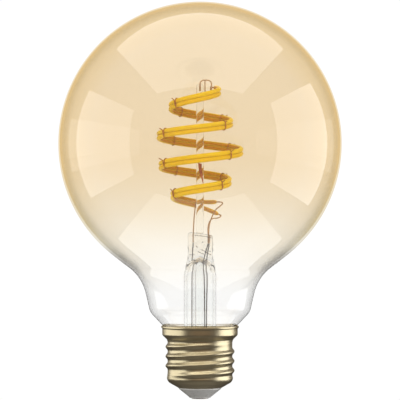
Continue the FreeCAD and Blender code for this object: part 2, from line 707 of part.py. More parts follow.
# --------------------------------------------------- insulator, contact, solder
turned("cap_insulator", [
    (c("contact_barrel_r"), c("insulator_foot_z") + 0.12),
    (c("contact_r") + 0.02, c("insulator_foot_z") + 0.12),
    (c("contact_r") + 0.02, c("insulator_foot_z") - 0.15),
    (c("insulator_foot_r") + 0.1, c("insulator_foot_z") - 0.15, -0.5),
    (c("insulator_foot_r") + 0.65, c("insulator_foot_z") + 0.2),
    (c("insulator_brow_r"), c("insulator_brow_z")),
    (c("insulator_brow_r") + 0.1, c("shoulder_foot_z") - 0.05),
    (c("shoulder_foot_r") - 0.1, c("shoulder_foot_z") + 0.02),
    (c("shoulder_foot_r") - 0.1, c("shoulder_foot_z") + 0.3),
    (c("insulator_top_r"), 5.77),
    (c("insulator_top_r"), c("insulator_top_z")),
    (c("contact_barrel_r") + 3.4, c("insulator_top_z")),
    (c("contact_barrel_r") + 2.2, 4.0),
    (c("contact_barrel_r"), 4.0),
])
turned("centre_contact", [
    (0.9, 0),
    (c("contact_r") - 0.25, 0, -0.25),
    (c("contact_r"), 0.25),
    (c("contact_r"), c("contact_thick")),
    (c("contact_barrel_r"), c("contact_thick")),
    (c("contact_barrel_r"), 4.02),
    (c("contact_barrel_r") + 0.55, 4.02),
    (c("contact_barrel_r") + 0.55, 4.32),
    (c("contact_bore_r"), 4.32),
    (c("contact_bore_r"), 1.0),
    (0.9, 0.6),
])
turned("contact_solder", [
    (0, 0.06),
    (0.45, 0.08),
    (0.88, 0.12),
    (0.88, 0.62),
    (c("contact_bore_r") - 0.02, 1.02),
    (c("contact_bore_r") - 0.02, 2.2),
    (0, 2.2),
])
turned("cap_cement", [
    (c("neck_end_r") + 0.95, c("neck_step_z") + 1.0),
    (c("collar_r") - sh - 0.02, c("collar_low_z") + 0.1),
    (c("collar_r") - sh - 0.02, 26.9),
    (c("neck_foot_r") - 0.6, 26.95),
])

# ------------------------------------------------------------ driver in the cap
turned("insulating_sleeve", [
    (c("sleeve_r") - c("sleeve_wall"), c("sleeve_low_z") + 1.4),
    (c("sleeve_r"), c("sleeve_low_z") + 1.4),
    (c("sleeve_r"), c("sleeve_high_z")),
    (c("sleeve_r") - c("sleeve_wall"), c("sleeve_high_z")),
])
board_blank = cyl("driver_board_blank", c("board_r"), c("board_thick"), (0, 0, c("board_z")))
ports = []
for i, (x, y, r) in enumerate([(4.6, 9.3, 0.6), (6.15, 7.8, 0.27), (-4.4, -7.8, 0.27), (-0.8, -7.8, 0.27), (-4.0, -0.8, 0.32), (1.4, -4.3, 0.32), (3.6, -4.2, 0.32), (0, 0, 0.0)]):
    if r:
        ports.append(cyl("board_hole_%d" % i, r, 2.0, (x, y, D["board_z"] - 0.5)))
cut("driver_board", board_blank, group("board_holes", ports))
BT = D["board_z"] + D["board_thick"]

box("radio_board", (c("radio_width"), c("radio_thick"), c("radio_height")), (-0.6, D["radio_y"], BT + 0.02 + D["radio_height"] / 2))
can_box = box("radio_shield_box", (7.0, 1.5, 5.0), (-3.2, D["radio_y"] - D["radio_thick"] / 2 - 0.77, BT + 3.4))
doc.recompute()
shield_shape = can_box.Shape.makeFillet(0.35, [e for e in can_box.Shape.Edges if e.BoundBox.YMax < D["radio_y"] - D["radio_thick"] / 2 - 1.2])
feature("radio_shield", shield_shape)
trace = []
ax, az = 1.1, BT + 7.2
for i in range(5):
    trace.append(box("aerial_riser_%d" % i, (0.35, 0.12, 2.4), (ax + i * 1.15, D["radio_y"] - D["radio_thick"] / 2 - 0.07, az)))
for i in range(4):
    trace.append(box("aerial_bridge_%d" % i, (1.5, 0.12, 0.35), (ax + 0.575 + i * 1.15, D["radio_y"] - D["radio_thick"] / 2 - 0.07, az + (1.03 if i % 2 == 0 else -1.03))))
fuse("radio_antenna", *trace)
box("radio_crystal", (2.0, 0.7, 1.6), (3.4, D["radio_y"] - D["radio_thick"] / 2 - 0.37, BT + 2.6))
pins = [box("radio_pin_%d" % i, (0.4, 0.4, 2.6), (-5.6 + i * 2.0, D["radio_y"] + D["radio_thick"] / 2 + 0.22, BT + 1.32)) for i in range(6)]
group("radio_pins", pins)

can = cyl("smoothing_can", c("cap_can_r"), c("cap_can_height"), (6.6, -0.6, BT + 0.35))
rubber = cyl("smoothing_bung", c("cap_can_r") - 0.35, 0.34, (6.6, -0.6, BT + 0.01))
fuse("smoothing_capacitor", can, rubber)
lead_a = cyl("smoothing_lead_a", 0.25, 1.6, (6.6, 0.65, D["board_z"] - 1.62))
lead_b = cyl("smoothing_lead_b", 0.25, 1.6, (6.6, -1.85, D["board_z"] - 1.62))
group("capacitor_leads", [lead_a, lead_b])

core = turned("inductor_core", [
    (0, BT + 0.02),
    (c("coil_core_r"), BT + 0.02),
    (c("coil_core_r"), BT + 0.9),
    (1.5, BT + 0.9),
    (1.5, BT + c("coil_core_height").v - 0.85),
    (c("coil_core_r"), BT + c("coil_core_height").v - 0.85),
    (c("coil_core_r"), BT + c("coil_core_height").v),
    (0, BT + c("coil_core_height").v),
])
core.Placement = Placement(Vector(-7.4, 0.9, 0), Rotation())
winding = turned("inductor_winding", [
    (1.52, BT + 0.92),
    (c("coil_core_r") - 0.3, BT + 0.92),
    (c("coil_core_r") - 0.3, BT + c("coil_core_height").v - 0.87),
    (1.52, BT + c("coil_core_height").v - 0.87),
])
winding.Placement = Placement(Vector(-7.4, 0.9, 0), Rotation())

disc = cyl("varistor_disc", c("varistor_r"), c("varistor_thick"), (-2.6, -6.6, BT + 3.25), (0, -1, 0))
doc.recompute()
feature("surge_varistor", disc.Shape.makeFillet(0.5, [e for e in disc.Shape.Edges if len(e.Vertexes) == 1]))
cut("varistor_leads", group("varistor_lead_pair", [cyl("varistor_lead_a", 0.25, 3.6, (-4.4, -7.8, D["board_z"] - 1.2)), cyl("varistor_lead_b", 0.25, 3.6, (-0.8, -7.8, D["board_z"] - 1.2))]), doc.getObject("surge_varistor"))

box("bridge_rectifier", (4.6, 3.9, 1.5), (-5.0, 4.6, D["board_z"] - 0.77))
group("driver_chips", [box("driver_chip_a", (4.9, 3.9, 1.5), (4.2, -5.2, D["board_z"] - 0.77)), box("driver_chip_b", (4.9, 3.9, 1.5), (-4.3, -4.6, D["board_z"] - 0.77))])
RES = [(0.8, -8.6, 0), (-8.2, -2.2, 90), (8.6, 2.4, 90), (1.6, 7.2, 0), (-1.0, 4.6, 90), (0.2, -3.2, 90), (7.2, 5.4, 45)]
group("chip_resistors", [box("chip_resistor_%d" % i, (1.6, 0.8, 0.5), (x, y, D["board_z"] - 0.27), a) for i, (x, y, a) in enumerate(RES)])
CAPS = [(3.2, 4.6, 0), (-8.3, 1.6, 90), (8.9, -1.4, 90), (-1.6, 8.4, 0), (3.6, -8.9, 0)]
group("chip_capacitors", [box("chip_capacitor_%d" % i, (2.0, 1.25, 0.9), (x, y, D["board_z"] - 0.47), a) for i, (x, y, a) in enumerate(CAPS)])

# fusible resistor in the live lead, lying under the board
body_f = cyl("fusible_body", 1.15, 5.0, (4.6, 8.2, D["board_z"] - 2.6), (-1, 0, 0))
doc.recompute()
feature("fusible_resistor", body_f.Shape.makeFillet(0.45, [e for e in body_f.Shape.Edges if len(e.Vertexes) == 1]))
zb = D["board_z"] - 2.6
feature("fusible_leads", Part.makeCompound([
    swept(line_of([(4.64, 8.2, zb), (5.2, 8.2, zb + 0.02), (5.9, 8.05, zb + 0.4), (6.13, 7.85, zb + 1.3), (6.15, 7.8, zb + 2.2), (6.15, 7.8, zb + 3.2)]), 0.25),
]))
feature("live_lead", swept(line_of([(-0.46, 8.2, zb), (-1.3, 8.05, zb), (-2.0, 7.0, zb - 0.1), (-1.9, 4.8, zb - 0.4), (-1.1, 2.4, 6.7), (-0.25, 0.6, 5.4), (0, 0, 3.9), (0, 0, 2.25)]), 0.3))
# neutral lead: up past the sleeve's top edge and soldered to the shell's wall
feature("neutral_lead", swept(line_of([(4.6, 9.3, D["board_z"] - 0.7), (4.6, 9.3, BT + 0.6), (4.65, 9.5, 14.5), (4.8, 9.85, 17.0), (5.0, 10.2, 18.4), (5.12, 10.42, 19.3)]), 0.25))
blob = Part.makeSphere(0.72, Vector(5.12, 10.42, 19.25)).common(Part.makeCylinder(11.98, 6, Vector(0, 0, 16)))
feature("neutral_solder", blob.cut(doc.getObject("neutral_lead").Shape))
doc.recompute()

# ---------------------------------------------------------------- the nodes
NODES = [
    "glass_globe", "glass_stem", "exhaust_tube", "centre_post", "top_hook",
    "filament_warm", "filament_cool", "warm_end_tabs", "cool_end_tabs", "filament_ties", "post_tag",
    "common_inner_lead", "warm_inner_lead", "cool_inner_lead", "seal_wires",
    "common_outer_lead", "warm_outer_lead", "cool_outer_lead",
    "cap_shell", "cap_insulator", "centre_contact", "contact_solder", "cap_cement",
    "insulating_sleeve", "driver_board", "radio_board", "radio_shield", "radio_antenna", "radio_crystal", "radio_pins",
    "smoothing_capacitor", "capacitor_leads", "inductor_core", "inductor_winding",
    "surge_varistor", "varistor_leads", "bridge_rectifier", "driver_chips", "chip_resistors", "chip_capacitors",
    "fusible_resistor", "fusible_leads", "live_lead", "neutral_lead", "neutral_solder",
]


def by_label(label):
    found = [o for o in doc.Objects if o.Label == label and hasattr(o, "Shape")]
    if len(found) != 1:
        raise RuntimeError("%d objects are labelled %s" % (len(found), label))
    return found[0]


bad = [o.Label for o in doc.Objects if "Invalid" in o.State or "Error" in o.State]
if bad:
    raise RuntimeError("objects in error: " + ", ".join(bad))
os.makedirs("parts", exist_ok=True)
shapes = {}
for label in NODES:
    shape = by_label(label).Shape
    if shape.isNull() or not shape.isValid() or not shape.Solids:
        raise RuntimeError("%s has no sound shape" % label)
    if any(s.Volume <= 0 for s in shape.Solids):
        raise RuntimeError("%s has an inside-out solid" % label)
    shapes[label] = shape
for old in os.listdir("parts"):
    if old.endswith(".step") and old[:-5] not in shapes:
        os.remove(os.path.join("parts", old))
for label, shape in shapes.items():
    solids = shape.Solids
    whole = solids[0] if len(solids) == 1 else Part.makeCompound(solids)
    whole.exportStep("parts/%s.step" % label)
total = Part.makeCompound(list(shapes.values())).BoundBox
print("nodes %d, box %.2f x %.2f x %.2f mm, z from %.3f" % (len(NODES), total.XLength, total.YLength, total.ZLength, total.ZMin))
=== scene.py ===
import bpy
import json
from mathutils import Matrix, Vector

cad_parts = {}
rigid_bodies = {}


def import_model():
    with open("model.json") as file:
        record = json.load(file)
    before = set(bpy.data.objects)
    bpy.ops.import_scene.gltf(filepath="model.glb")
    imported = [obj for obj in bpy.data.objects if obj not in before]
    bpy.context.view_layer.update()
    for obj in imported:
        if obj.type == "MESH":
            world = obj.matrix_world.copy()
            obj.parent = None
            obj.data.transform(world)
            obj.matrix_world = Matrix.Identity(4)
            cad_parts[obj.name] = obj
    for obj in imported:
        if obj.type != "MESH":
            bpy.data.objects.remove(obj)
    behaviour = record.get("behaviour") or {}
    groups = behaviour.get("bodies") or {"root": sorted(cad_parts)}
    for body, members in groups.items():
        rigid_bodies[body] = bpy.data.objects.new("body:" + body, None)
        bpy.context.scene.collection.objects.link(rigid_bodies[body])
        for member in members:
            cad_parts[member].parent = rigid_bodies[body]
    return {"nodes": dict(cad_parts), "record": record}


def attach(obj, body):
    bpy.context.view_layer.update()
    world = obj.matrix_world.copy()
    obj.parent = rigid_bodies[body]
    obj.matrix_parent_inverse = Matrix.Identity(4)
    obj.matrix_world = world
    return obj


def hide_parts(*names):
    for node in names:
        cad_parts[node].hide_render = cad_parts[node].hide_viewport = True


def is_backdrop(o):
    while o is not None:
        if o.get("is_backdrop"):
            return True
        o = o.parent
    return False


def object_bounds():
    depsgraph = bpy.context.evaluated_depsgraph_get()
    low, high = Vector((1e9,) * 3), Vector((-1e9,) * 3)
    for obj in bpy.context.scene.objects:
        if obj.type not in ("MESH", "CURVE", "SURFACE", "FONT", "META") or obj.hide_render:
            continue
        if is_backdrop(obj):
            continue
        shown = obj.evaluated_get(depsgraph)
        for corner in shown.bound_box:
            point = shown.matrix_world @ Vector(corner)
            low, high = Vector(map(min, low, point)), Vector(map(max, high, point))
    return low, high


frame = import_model()
cad_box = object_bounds()
import json, math, random
import bpy
import numpy as np
from mathutils import Vector

MM = 0.001
random.seed(7)
scene = bpy.context.scene


# ------------------------------------------------------------------ node tools
def fresh(name):
    m = bpy.data.materials.new(name)
    m.use_nodes = True
    nt = m.node_tree
    nt.nodes.clear()
    out = nt.nodes.new("ShaderNodeOutputMaterial")
    p = nt.nodes.new("ShaderNodeBsdfPrincipled")
    nt.links.new(p.outputs[0], out.inputs[0])
    return m, nt, p, out


def link(nt, a, b):
    nt.links.new(a, b)


def position(nt, stretch=(1, 1, 1), scale=1.0):
    tc = nt.nodes.new("ShaderNodeTexCoord")
    mp = nt.nodes.new("ShaderNodeMapping")
    mp.inputs["Scale"].default_value = [s * scale for s in stretch]
    link(nt, tc.outputs["Object"], mp.inputs["Vector"])
    return mp.outputs["Vector"]


def noise(nt, vec, scale, detail=3.0, rough=0.55):
    n = nt.nodes.new("ShaderNodeTexNoise")
    n.inputs["Scale"].default_value = scale
    n.inputs["Detail"].default_value = detail
    n.inputs["Roughness"].default_value = rough
    link(nt, vec, n.inputs["Vector"])
    return n.outputs["Fac"]


def ramp(nt, fac, stops):
    r = nt.nodes.new("ShaderNodeValToRGB")
    el = r.color_ramp.elements
    while len(el) < len(stops):
        el.new(0.5)
    for e, (pos, col) in zip(el, stops):
        e.position = pos
        e.color = (*col, 1) if len(col) == 3 else col
    link(nt, fac, r.inputs["Fac"])
    return r.outputs["Color"]


def rerange(nt, fac, lo, hi, a=0.25, b=0.75):
    n = nt.nodes.new("ShaderNodeMapRange")
    n.inputs["From Min"].default_value, n.inputs["From Max"].default_value = a, b
    n.inputs["To Min"].default_value, n.inputs["To Max"].default_value = lo, hi
    link(nt, fac, n.inputs["Value"])
    return n.outputs["Result"]


def bump(nt, p, fac, height, strength=1.0):
    b = nt.nodes.new("ShaderNodeBump")
    b.inputs["Strength"].default_value = strength
    b.inputs["Distance"].default_value = height
    link(nt, fac, b.inputs["Height"])
    link(nt, b.outputs["Normal"], p.inputs["Normal"])


def plain_stuff(name, dark, light, metallic=0.0, rough=(0.3, 0.5), scale=900.0, height=0.00002, stretch=(1, 1, 1), coat=0.0, spec=0.5):
    """A worn surface: two tones by noise, uneven roughness, fine relief."""
    m, nt, p, _ = fresh(name)
    vec = position(nt, stretch)
    broad = noise(nt, vec, scale * 0.22, 4.0)
    fine = noise(nt, vec, scale, 6.0, 0.6)
    link(nt, ramp(nt, broad, [(0.3, dark), (0.7, light)]), p.inputs["Base Color"])
    link(nt, rerange(nt, fine, rough[0], rough[1]), p.inputs["Roughness"])
    p.inputs["Metallic"].default_value = metallic
    p.inputs["Coat Weight"].default_value = coat
    p.inputs["Specular IOR Level"].default_value = spec
    bump(nt, p, fine, height)
    return m


def shadow_clear(nt, p, out, tint, rim=None):
    """Lamps light what is behind the glass. rim is (facing socket, colour socket, where): glass seen almost
    edge-on lets the background through in the colour passed in instead of mirroring the dim room. Light already inside
    the wall and still grazing came in that way, so it goes out that way too."""
    shader = p.outputs[0]
    if rim is not None:
        facing, colour, where = rim
        root = nt.nodes.new("ShaderNodeGamma")
        root.inputs["Gamma"].default_value = 0.5
        link(nt, colour, root.inputs["Color"])
        through = nt.nodes.new("ShaderNodeBsdfTransparent")
        link(nt, root.outputs[0], through.inputs["Color"])
        geo = nt.nodes.new("ShaderNodeNewGeometry")
        side = nt.nodes.new("ShaderNodeMixRGB")
        link(nt, geo.outputs["Backfacing"], side.inputs[0])
        link(nt, rerange(nt, facing, 0.0, 1.0, 0.64, 0.82), side.inputs[1])
        link(nt, rerange(nt, facing, 0.0, 1.0, 0.40, 0.50), side.inputs[2])
        amount = nt.nodes.new("ShaderNodeMath")
        amount.operation = "MULTIPLY"
        link(nt, side.outputs[0], amount.inputs[0])
        link(nt, where, amount.inputs[1])
        edge = nt.nodes.new("ShaderNodeMixShader")
        link(nt, amount.outputs[0], edge.inputs[0])
        link(nt, shader, edge.inputs[1])
        link(nt, through.outputs[0], edge.inputs[2])
        shader = edge.outputs[0]
    mix = nt.nodes.new("ShaderNodeMixShader")
    path = nt.nodes.new("ShaderNodeLightPath")
    tr = nt.nodes.new("ShaderNodeBsdfTransparent")
    tr.inputs["Color"].default_value = (*tint, 1)
    link(nt, path.outputs["Is Shadow Ray"], mix.inputs[0])
    link(nt, shader, mix.inputs[1])
    link(nt, tr.outputs[0], mix.inputs[2])
    link(nt, mix.outputs[0], out.inputs[0])


def height_fac(nt, z0, z1):
    """0 at z0, 1 at z1, along the lamp."""
    tc = nt.nodes.new("ShaderNodeTexCoord")
    sep = nt.nodes.new("ShaderNodeSeparateXYZ")
    link(nt, tc.outputs["Object"], sep.inputs[0])
    n = nt.nodes.new("ShaderNodeMapRange")
    n.interpolation_type = "SMOOTHSTEP"
    n.inputs["From Min"].default_value, n.inputs["From Max"].default_value = z0, z1
    link(nt, sep.outputs["Z"], n.inputs["Value"])
    return n.outputs["Result"]


# ------------------------------------------------------------------- materials
M = {}


def globe_glass():
    """Blown glass with a thin amber tint that fades out down the neck. Seen edge-on, the colour is deeper and darker:
    partly the longer way through the tinted wall, partly painted edge shade, a plain grey darkening at the clear neck.
    """
    m, nt, p, out = fresh("amber_glass")
    fac = height_fac(nt, 0.034, 0.098)
    wob = noise(nt, position(nt), 26.0, 2.0)
    add = nt.nodes.new("ShaderNodeMath")
    add.operation = "MULTIPLY_ADD"
    link(nt, wob, add.inputs[0])
    add.inputs[1].default_value = 0.012
    link(nt, fac, add.inputs[2])
    face_on = ramp(nt, add.outputs[0], [(0.03, (0.985, 0.985, 0.98)), (0.30, (0.975, 0.95, 0.895)), (0.62, (0.95, 0.885, 0.770)), (0.98, (0.930, 0.830, 0.670))])
    # painted edge shade: edge-on the colour turns darker, grey at the clear neck and a deeper amber higher up, where
    # it is also the longer way through the tint
    edge_tint_and_shade = ramp(nt, add.outputs[0], [(0.03, (0.80, 0.80, 0.79)), (0.35, (0.86, 0.79, 0.65)), (0.62, (0.86, 0.75, 0.54)), (0.98, (0.97, 0.775, 0.41))])
    lw = nt.nodes.new("ShaderNodeLayerWeight")
    lw.inputs["Blend"].default_value = 0.5
    k = rerange(nt, lw.outputs["Facing"], 0.0, 1.0, 0.38, 0.98)
    mix = nt.nodes.new("ShaderNodeMixRGB")
    link(nt, k, mix.inputs[0])
    link(nt, face_on, mix.inputs[1])
    link(nt, edge_tint_and_shade, mix.inputs[2])
    link(nt, mix.outputs[0], p.inputs["Base Color"])
    p.inputs["Transmission Weight"].default_value = 1.0
    p.inputs["IOR"].default_value = 1.47
    p.inputs["Roughness"].default_value = 0.0
    # painted rim shade: the thin outermost ring passes the background darkened to this colour, grey at the neck and
    # amber higher up
    rim_tint_and_shade = ramp(nt, add.outputs[0], [(0.20, (0.80, 0.79, 0.74)), (0.50, (0.77, 0.70, 0.54)), (0.98, (0.86, 0.725, 0.50))])
    shadow_clear(nt, p, out, (0.95, 0.90, 0.82), (lw.outputs["Facing"], rim_tint_and_shade, height_fac(nt, 0.045, 0.060)))
    return m


def stem_glass(name, colour=(0.985, 0.99, 0.985), pressed=None, relief=0.00001, scale=220.0, ior=1.5, edge=(0.26, 0.27, 0.25), edge_shade_span=(0.46, 0.92)):
    """Drawn lead glass. Where it was pressed, higher up, it is warmer in tone and slightly cloudy. Seen edge-on its
    colour turns to edge, a painted edge shade that darkens the outline.
    """
    cloudy = pressed is not None
    m, nt, p, out = fresh(name)
    vec = position(nt)
    n = noise(nt, vec, scale, 2.0)
    tone = ramp(nt, n, [(0.2, tuple(c * 0.985 for c in colour)), (0.8, colour)])
    if cloudy:
        mix = nt.nodes.new("ShaderNodeMixRGB")
        link(nt, height_fac(nt, 0.0495, 0.0560), mix.inputs[0])
        link(nt, tone, mix.inputs[1])
        link(nt, ramp(nt, noise(nt, vec, 420.0, 3.0), [(0.35, tuple(c * 0.88 for c in pressed)), (0.6, pressed)]), mix.inputs[2])
        tone = mix.outputs[0]
    lw = nt.nodes.new("ShaderNodeLayerWeight")
    lw.inputs["Blend"].default_value = 0.5
    # painted edge shade: where the glass is seen edge-on the base colour turns to the darker edge colour, darkening
    # the outline
    rim = nt.nodes.new("ShaderNodeMixRGB")
    link(nt, rerange(nt, lw.outputs["Facing"], 0.0, 1.0, *edge_shade_span), rim.inputs[0])
    link(nt, tone, rim.inputs[1])
    rim.inputs[2].default_value = (*edge, 1)
    link(nt, rim.outputs[0], p.inputs["Base Color"])
    p.inputs["Transmission Weight"].default_value = 1.0
    p.inputs["IOR"].default_value = ior
    if cloudy:
        link(nt, rerange(nt, height_fac(nt, 0.0490, 0.0555), 0.003, 0.24, 0.0, 1.0), p.inputs["Roughness"])
    else:
        p.inputs["Roughness"].default_value = 0.0
    bump(nt, p, n, relief, 0.12)
    shadow_clear(nt, p, out, (0.95, 0.95, 0.95))
    return m


def silicone(name, deep, bright, back):
    """Phosphor-filled silicone on a carrier strip. UV: x along in mm, y round, 0.5 facing out from the lamp's axis.
    The outer side is bright and a thin darker line marks the strip; the inner side, facing the lamp's axis, is painted
    darker as shade."""
    m, nt, p, _ = fresh(name)
    uv = nt.nodes.new("ShaderNodeTexCoord")
    sep = nt.nodes.new("ShaderNodeSeparateXYZ")
    link(nt, uv.outputs["UV"], sep.inputs[0])
    d = nt.nodes.new("ShaderNodeMath")
    d.operation = "SUBTRACT"
    link(nt, sep.outputs["Y"], d.inputs[0])
    d.inputs[1].default_value = 0.5
    ab = nt.nodes.new("ShaderNodeMath")
    ab.operation = "ABSOLUTE"
    link(nt, d.outputs[0], ab.inputs[0])
    mott = noise(nt, position(nt), 1300.0, 4.0)
    body = ramp(nt, mott, [(0.3, deep), (0.7, bright)])
    # painted shade: the strand's inner side, facing the lamp's axis, takes the darker back colour
    inner_shade = ramp(nt, mott, [(0.3, tuple(c * 0.82 for c in back)), (0.7, back)])
    mix = nt.nodes.new("ShaderNodeMixRGB")
    link(nt, rerange(nt, ab.outputs[0], 0.0, 1.0, 0.30, 0.42), mix.inputs[0])
    link(nt, body, mix.inputs[1])
    link(nt, inner_shade, mix.inputs[2])
    line = nt.nodes.new("ShaderNodeMixRGB")
    line.blend_type = "MULTIPLY"
    link(nt, rerange(nt, ab.outputs[0], 0.55, 0.0, 0.01, 0.055), line.inputs[0])
    link(nt, mix.outputs[0], line.inputs[1])
    line.inputs[2].default_value = (0.97, 0.86, 0.7, 1)
    w = nt.nodes.new("ShaderNodeMath")
    w.operation = "MULTIPLY"
    w.inputs[1].default_value = 2 * math.pi / 0.9
    link(nt, sep.outputs["X"], w.inputs[0])
    sn = nt.nodes.new("ShaderNodeMath")
    sn.operation = "SINE"
    link(nt, w.outputs[0], sn.inputs[0])
    chip = nt.nodes.new("ShaderNodeMixRGB")
    chip.blend_type = "MULTIPLY"
    link(nt, rerange(nt, sn.outputs[0], 0.0, 0.35, -0.2, 0.9), chip.inputs[0])
    link(nt, line.outputs[0], chip.inputs[1])
    chip.inputs[2].default_value = (0.94, 0.88, 0.8, 1)
    link(nt, chip.outputs[0], p.inputs["Base Color"])
    link(nt, rerange(nt, noise(nt, position(nt), 2600.0), 0.34, 0.5), p.inputs["Roughness"])
    p.inputs["Specular IOR Level"].default_value = 0.15
    p.inputs["Subsurface Weight"].default_value = 0.12
    p.inputs["Subsurface Radius"].default_value = (0.0008, 0.0005, 0.0001)
    p.inputs["Subsurface Scale"].default_value = 1.0
    bump(nt, p, noise(nt, position(nt), 1100.0, 3.0), 0.00002, 0.5)
    return m


def bronze():
    """Antique bronze plating: faint rolling marks run round the cap, and the tone drifts in soft clouds."""
    m, nt, p, _ = fresh("cap_metal")
    vec = position(nt)
    cloud = noise(nt, vec, 120.0, 4.0, 0.55)
    ring = noise(nt, position(nt, (0.03, 0.03, 1.0)), 4200.0, 3.0, 0.6)
    base = ramp(nt, cloud, [(0.25, (0.57, 0.495, 0.325)), (0.55, (0.62, 0.550, 0.370)), (0.80, (0.66, 0.590, 0.405))])
    mul = nt.nodes.new("ShaderNodeMixRGB")
    mul.blend_type = "MULTIPLY"
    mul.inputs[0].default_value = 0.12
    link(nt, base, mul.inputs[1])
    link(nt, ramp(nt, ring, [(0.3, (0.80, 0.76, 0.70)), (0.6, (1, 1, 1))]), mul.inputs[2])
    link(nt, mul.outputs[0], p.inputs["Base Color"])
    p.inputs["Metallic"].default_value = 1.0
    link(nt, rerange(nt, cloud, 0.29, 0.37), p.inputs["Roughness"])
    bump(nt, p, ring, 0.0000008, 0.3)
    return m


M["amber_glass"] = globe_glass()
M["clear_glass"] = stem_glass("clear_glass")
PRESSED = stem_glass("pressed_glass", pressed=(0.99, 0.975, 0.94), ior=1.5)
# the post's outline gets a warmer, lighter painted edge shade
POST = stem_glass("post_glass", relief=0.00002, ior=1.40, edge=(0.55, 0.52, 0.45), edge_shade_span=(0.55, 0.97))
LEAD = plain_stuff("oxidised_lead", (0.05, 0.036, 0.024), (0.12, 0.09, 0.065), 0.5, (0.35, 0.5), 2200.0, 0.000008)
BROWN = plain_stuff("annealed_lead", (0.32, 0.165, 0.042), (0.48, 0.27, 0.085), 0.15, (0.35, 0.5), 2200.0, 0.000008)
RUST = plain_stuff("copper_tag", (0.30, 0.085, 0.030), (0.48, 0.16, 0.06), 0.3, (0.35, 0.5), 2200.0, 0.00001)
TIE = plain_stuff("tie_wire", (0.30, 0.115, 0.018), (0.46, 0.20, 0.035), 0.15, (0.35, 0.5), 2200.0, 0.000008)
# the third colour of each coat is the painted shade of the strands' inner side
M["filament_coat_warm"] = silicone("filament_coat_warm", (0.73, 0.500, 0.010), (0.80, 0.605, 0.020), (0.54, 0.255, 0.004))
M["filament_coat_cool"] = silicone("filament_coat_cool", (0.75, 0.540, 0.012), (0.81, 0.65, 0.024), (0.57, 0.280, 0.005))
M["nickel_wire"] = plain_stuff("nickel_wire", (0.40, 0.23, 0.085), (0.56, 0.35, 0.15), 0.35, (0.3, 0.45), 2600.0, 0.000006)
M["copper_wire"] = plain_stuff("copper_wire", (0.17, 0.085, 0.030), (0.32, 0.17, 0.065), 0.6, (0.35, 0.5), 2200.0, 0.000008)
M["cap_metal"] = bronze()
M["insulator"] = plain_stuff("insulator", (0.66, 0.67, 0.65), (0.76, 0.77, 0.755), 0.0, (0.22, 0.38), 700.0, 0.00001, coat=0.2)
M["contact_metal"] = plain_stuff("contact_metal", (0.55, 0.50, 0.42), (0.75, 0.71, 0.62), 1.0, (0.25, 0.5), 1200.0, 0.00001)
M["solder"] = plain_stuff("solder", (0.50, 0.50, 0.50), (0.75, 0.75, 0.74), 1.0, (0.3, 0.55), 900.0, 0.00003)
M["cement"] = plain_stuff("cement", (0.55, 0.52, 0.46), (0.76, 0.73, 0.67), 0.0, (0.8, 0.95), 1500.0, 0.00008)
M["sleeve_film"] = plain_stuff("sleeve_film", (0.70, 0.67, 0.57), (0.82, 0.80, 0.71), 0.0, (0.4, 0.55), 500.0, 0.00001)
M["board_green"] = plain_stuff("board_green", (0.015, 0.10, 0.04), (0.03, 0.17, 0.07), 0.0, (0.25, 0.4), 1100.0, 0.00001, coat=0.3)
M["radio_board_blue"] = plain_stuff("radio_board_blue", (0.01, 0.03, 0.12), (0.02, 0.06, 0.20), 0.0, (0.25, 0.4), 1100.0, 0.00001, coat=0.3)
M["shield_metal"] = plain_stuff("shield_metal", (0.55, 0.55, 0.55), (0.72, 0.72, 0.71), 1.0, (0.2, 0.4), 1400.0, 0.000008)
M["gold_trace"] = plain_stuff("gold_trace", (0.70, 0.50, 0.18), (0.85, 0.66, 0.28), 1.0, (0.2, 0.35), 1800.0, 0.000006)
M["tinned_metal"] = plain_stuff("tinned_metal", (0.55, 0.55, 0.54), (0.74, 0.73, 0.72), 1.0, (0.25, 0.45), 1700.0, 0.000006)
M["capacitor_sleeve"] = plain_stuff("capacitor_sleeve", (0.008, 0.008, 0.010), (0.02, 0.02, 0.025), 0.0, (0.25, 0.4), 800.0, 0.00001)
M["ferrite"] = plain_stuff("ferrite", (0.02, 0.019, 0.018), (0.05, 0.048, 0.045), 0.1, (0.5, 0.7), 1500.0, 0.00003)
M["enamel_copper"] = plain_stuff("enamel_copper", (0.36, 0.12, 0.04), (0.55, 0.21, 0.08), 0.9, (0.25, 0.4), 2400.0, 0.00006, stretch=(0.1, 0.1, 1))
M["varistor_blue"] = plain_stuff("varistor_blue", (0.01, 0.06, 0.25), (0.03, 0.11, 0.36), 0.0, (0.25, 0.45), 900.0, 0.00004)
M["chip_black"] = plain_stuff("chip_black", (0.008, 0.008, 0.009), (0.022, 0.022, 0.024), 0.0, (0.45, 0.65), 2200.0, 0.00001)
M["chip_ceramic"] = plain_stuff("chip_ceramic", (0.34, 0.24, 0.14), (0.45, 0.33, 0.21), 0.0, (0.35, 0.5), 1500.0, 0.00001)
M["resistor_body"] = plain_stuff("resistor_body", (0.10, 0.22, 0.15), (0.18, 0.33, 0.24), 0.0, (0.2, 0.35), 900.0, 0.00001, coat=0.4)
M["live_insulation"] = plain_stuff("live_insulation", (0.28, 0.015, 0.01), (0.42, 0.03, 0.02), 0.0, (0.35, 0.5), 900.0, 0.00001)
M["neutral_insulation"] = plain_stuff("neutral_insulation", (0.70, 0.70, 0.67), (0.82, 0.82, 0.80), 0.0, (0.35, 0.5), 900.0, 0.00001)

slots = {e["node"]: e["material_slot"] for e in frame["record"]["subparts"]}
for node, obj in frame["nodes"].items():
    obj.data.materials.clear()
    wire = LEAD if node in ("common_outer_lead", "warm_outer_lead", "cool_outer_lead", "seal_wires") else BROWN if node.endswith("inner_lead") else RUST if node == "post_tag" else M[slots[node]]
    obj.data.materials.append(wire)


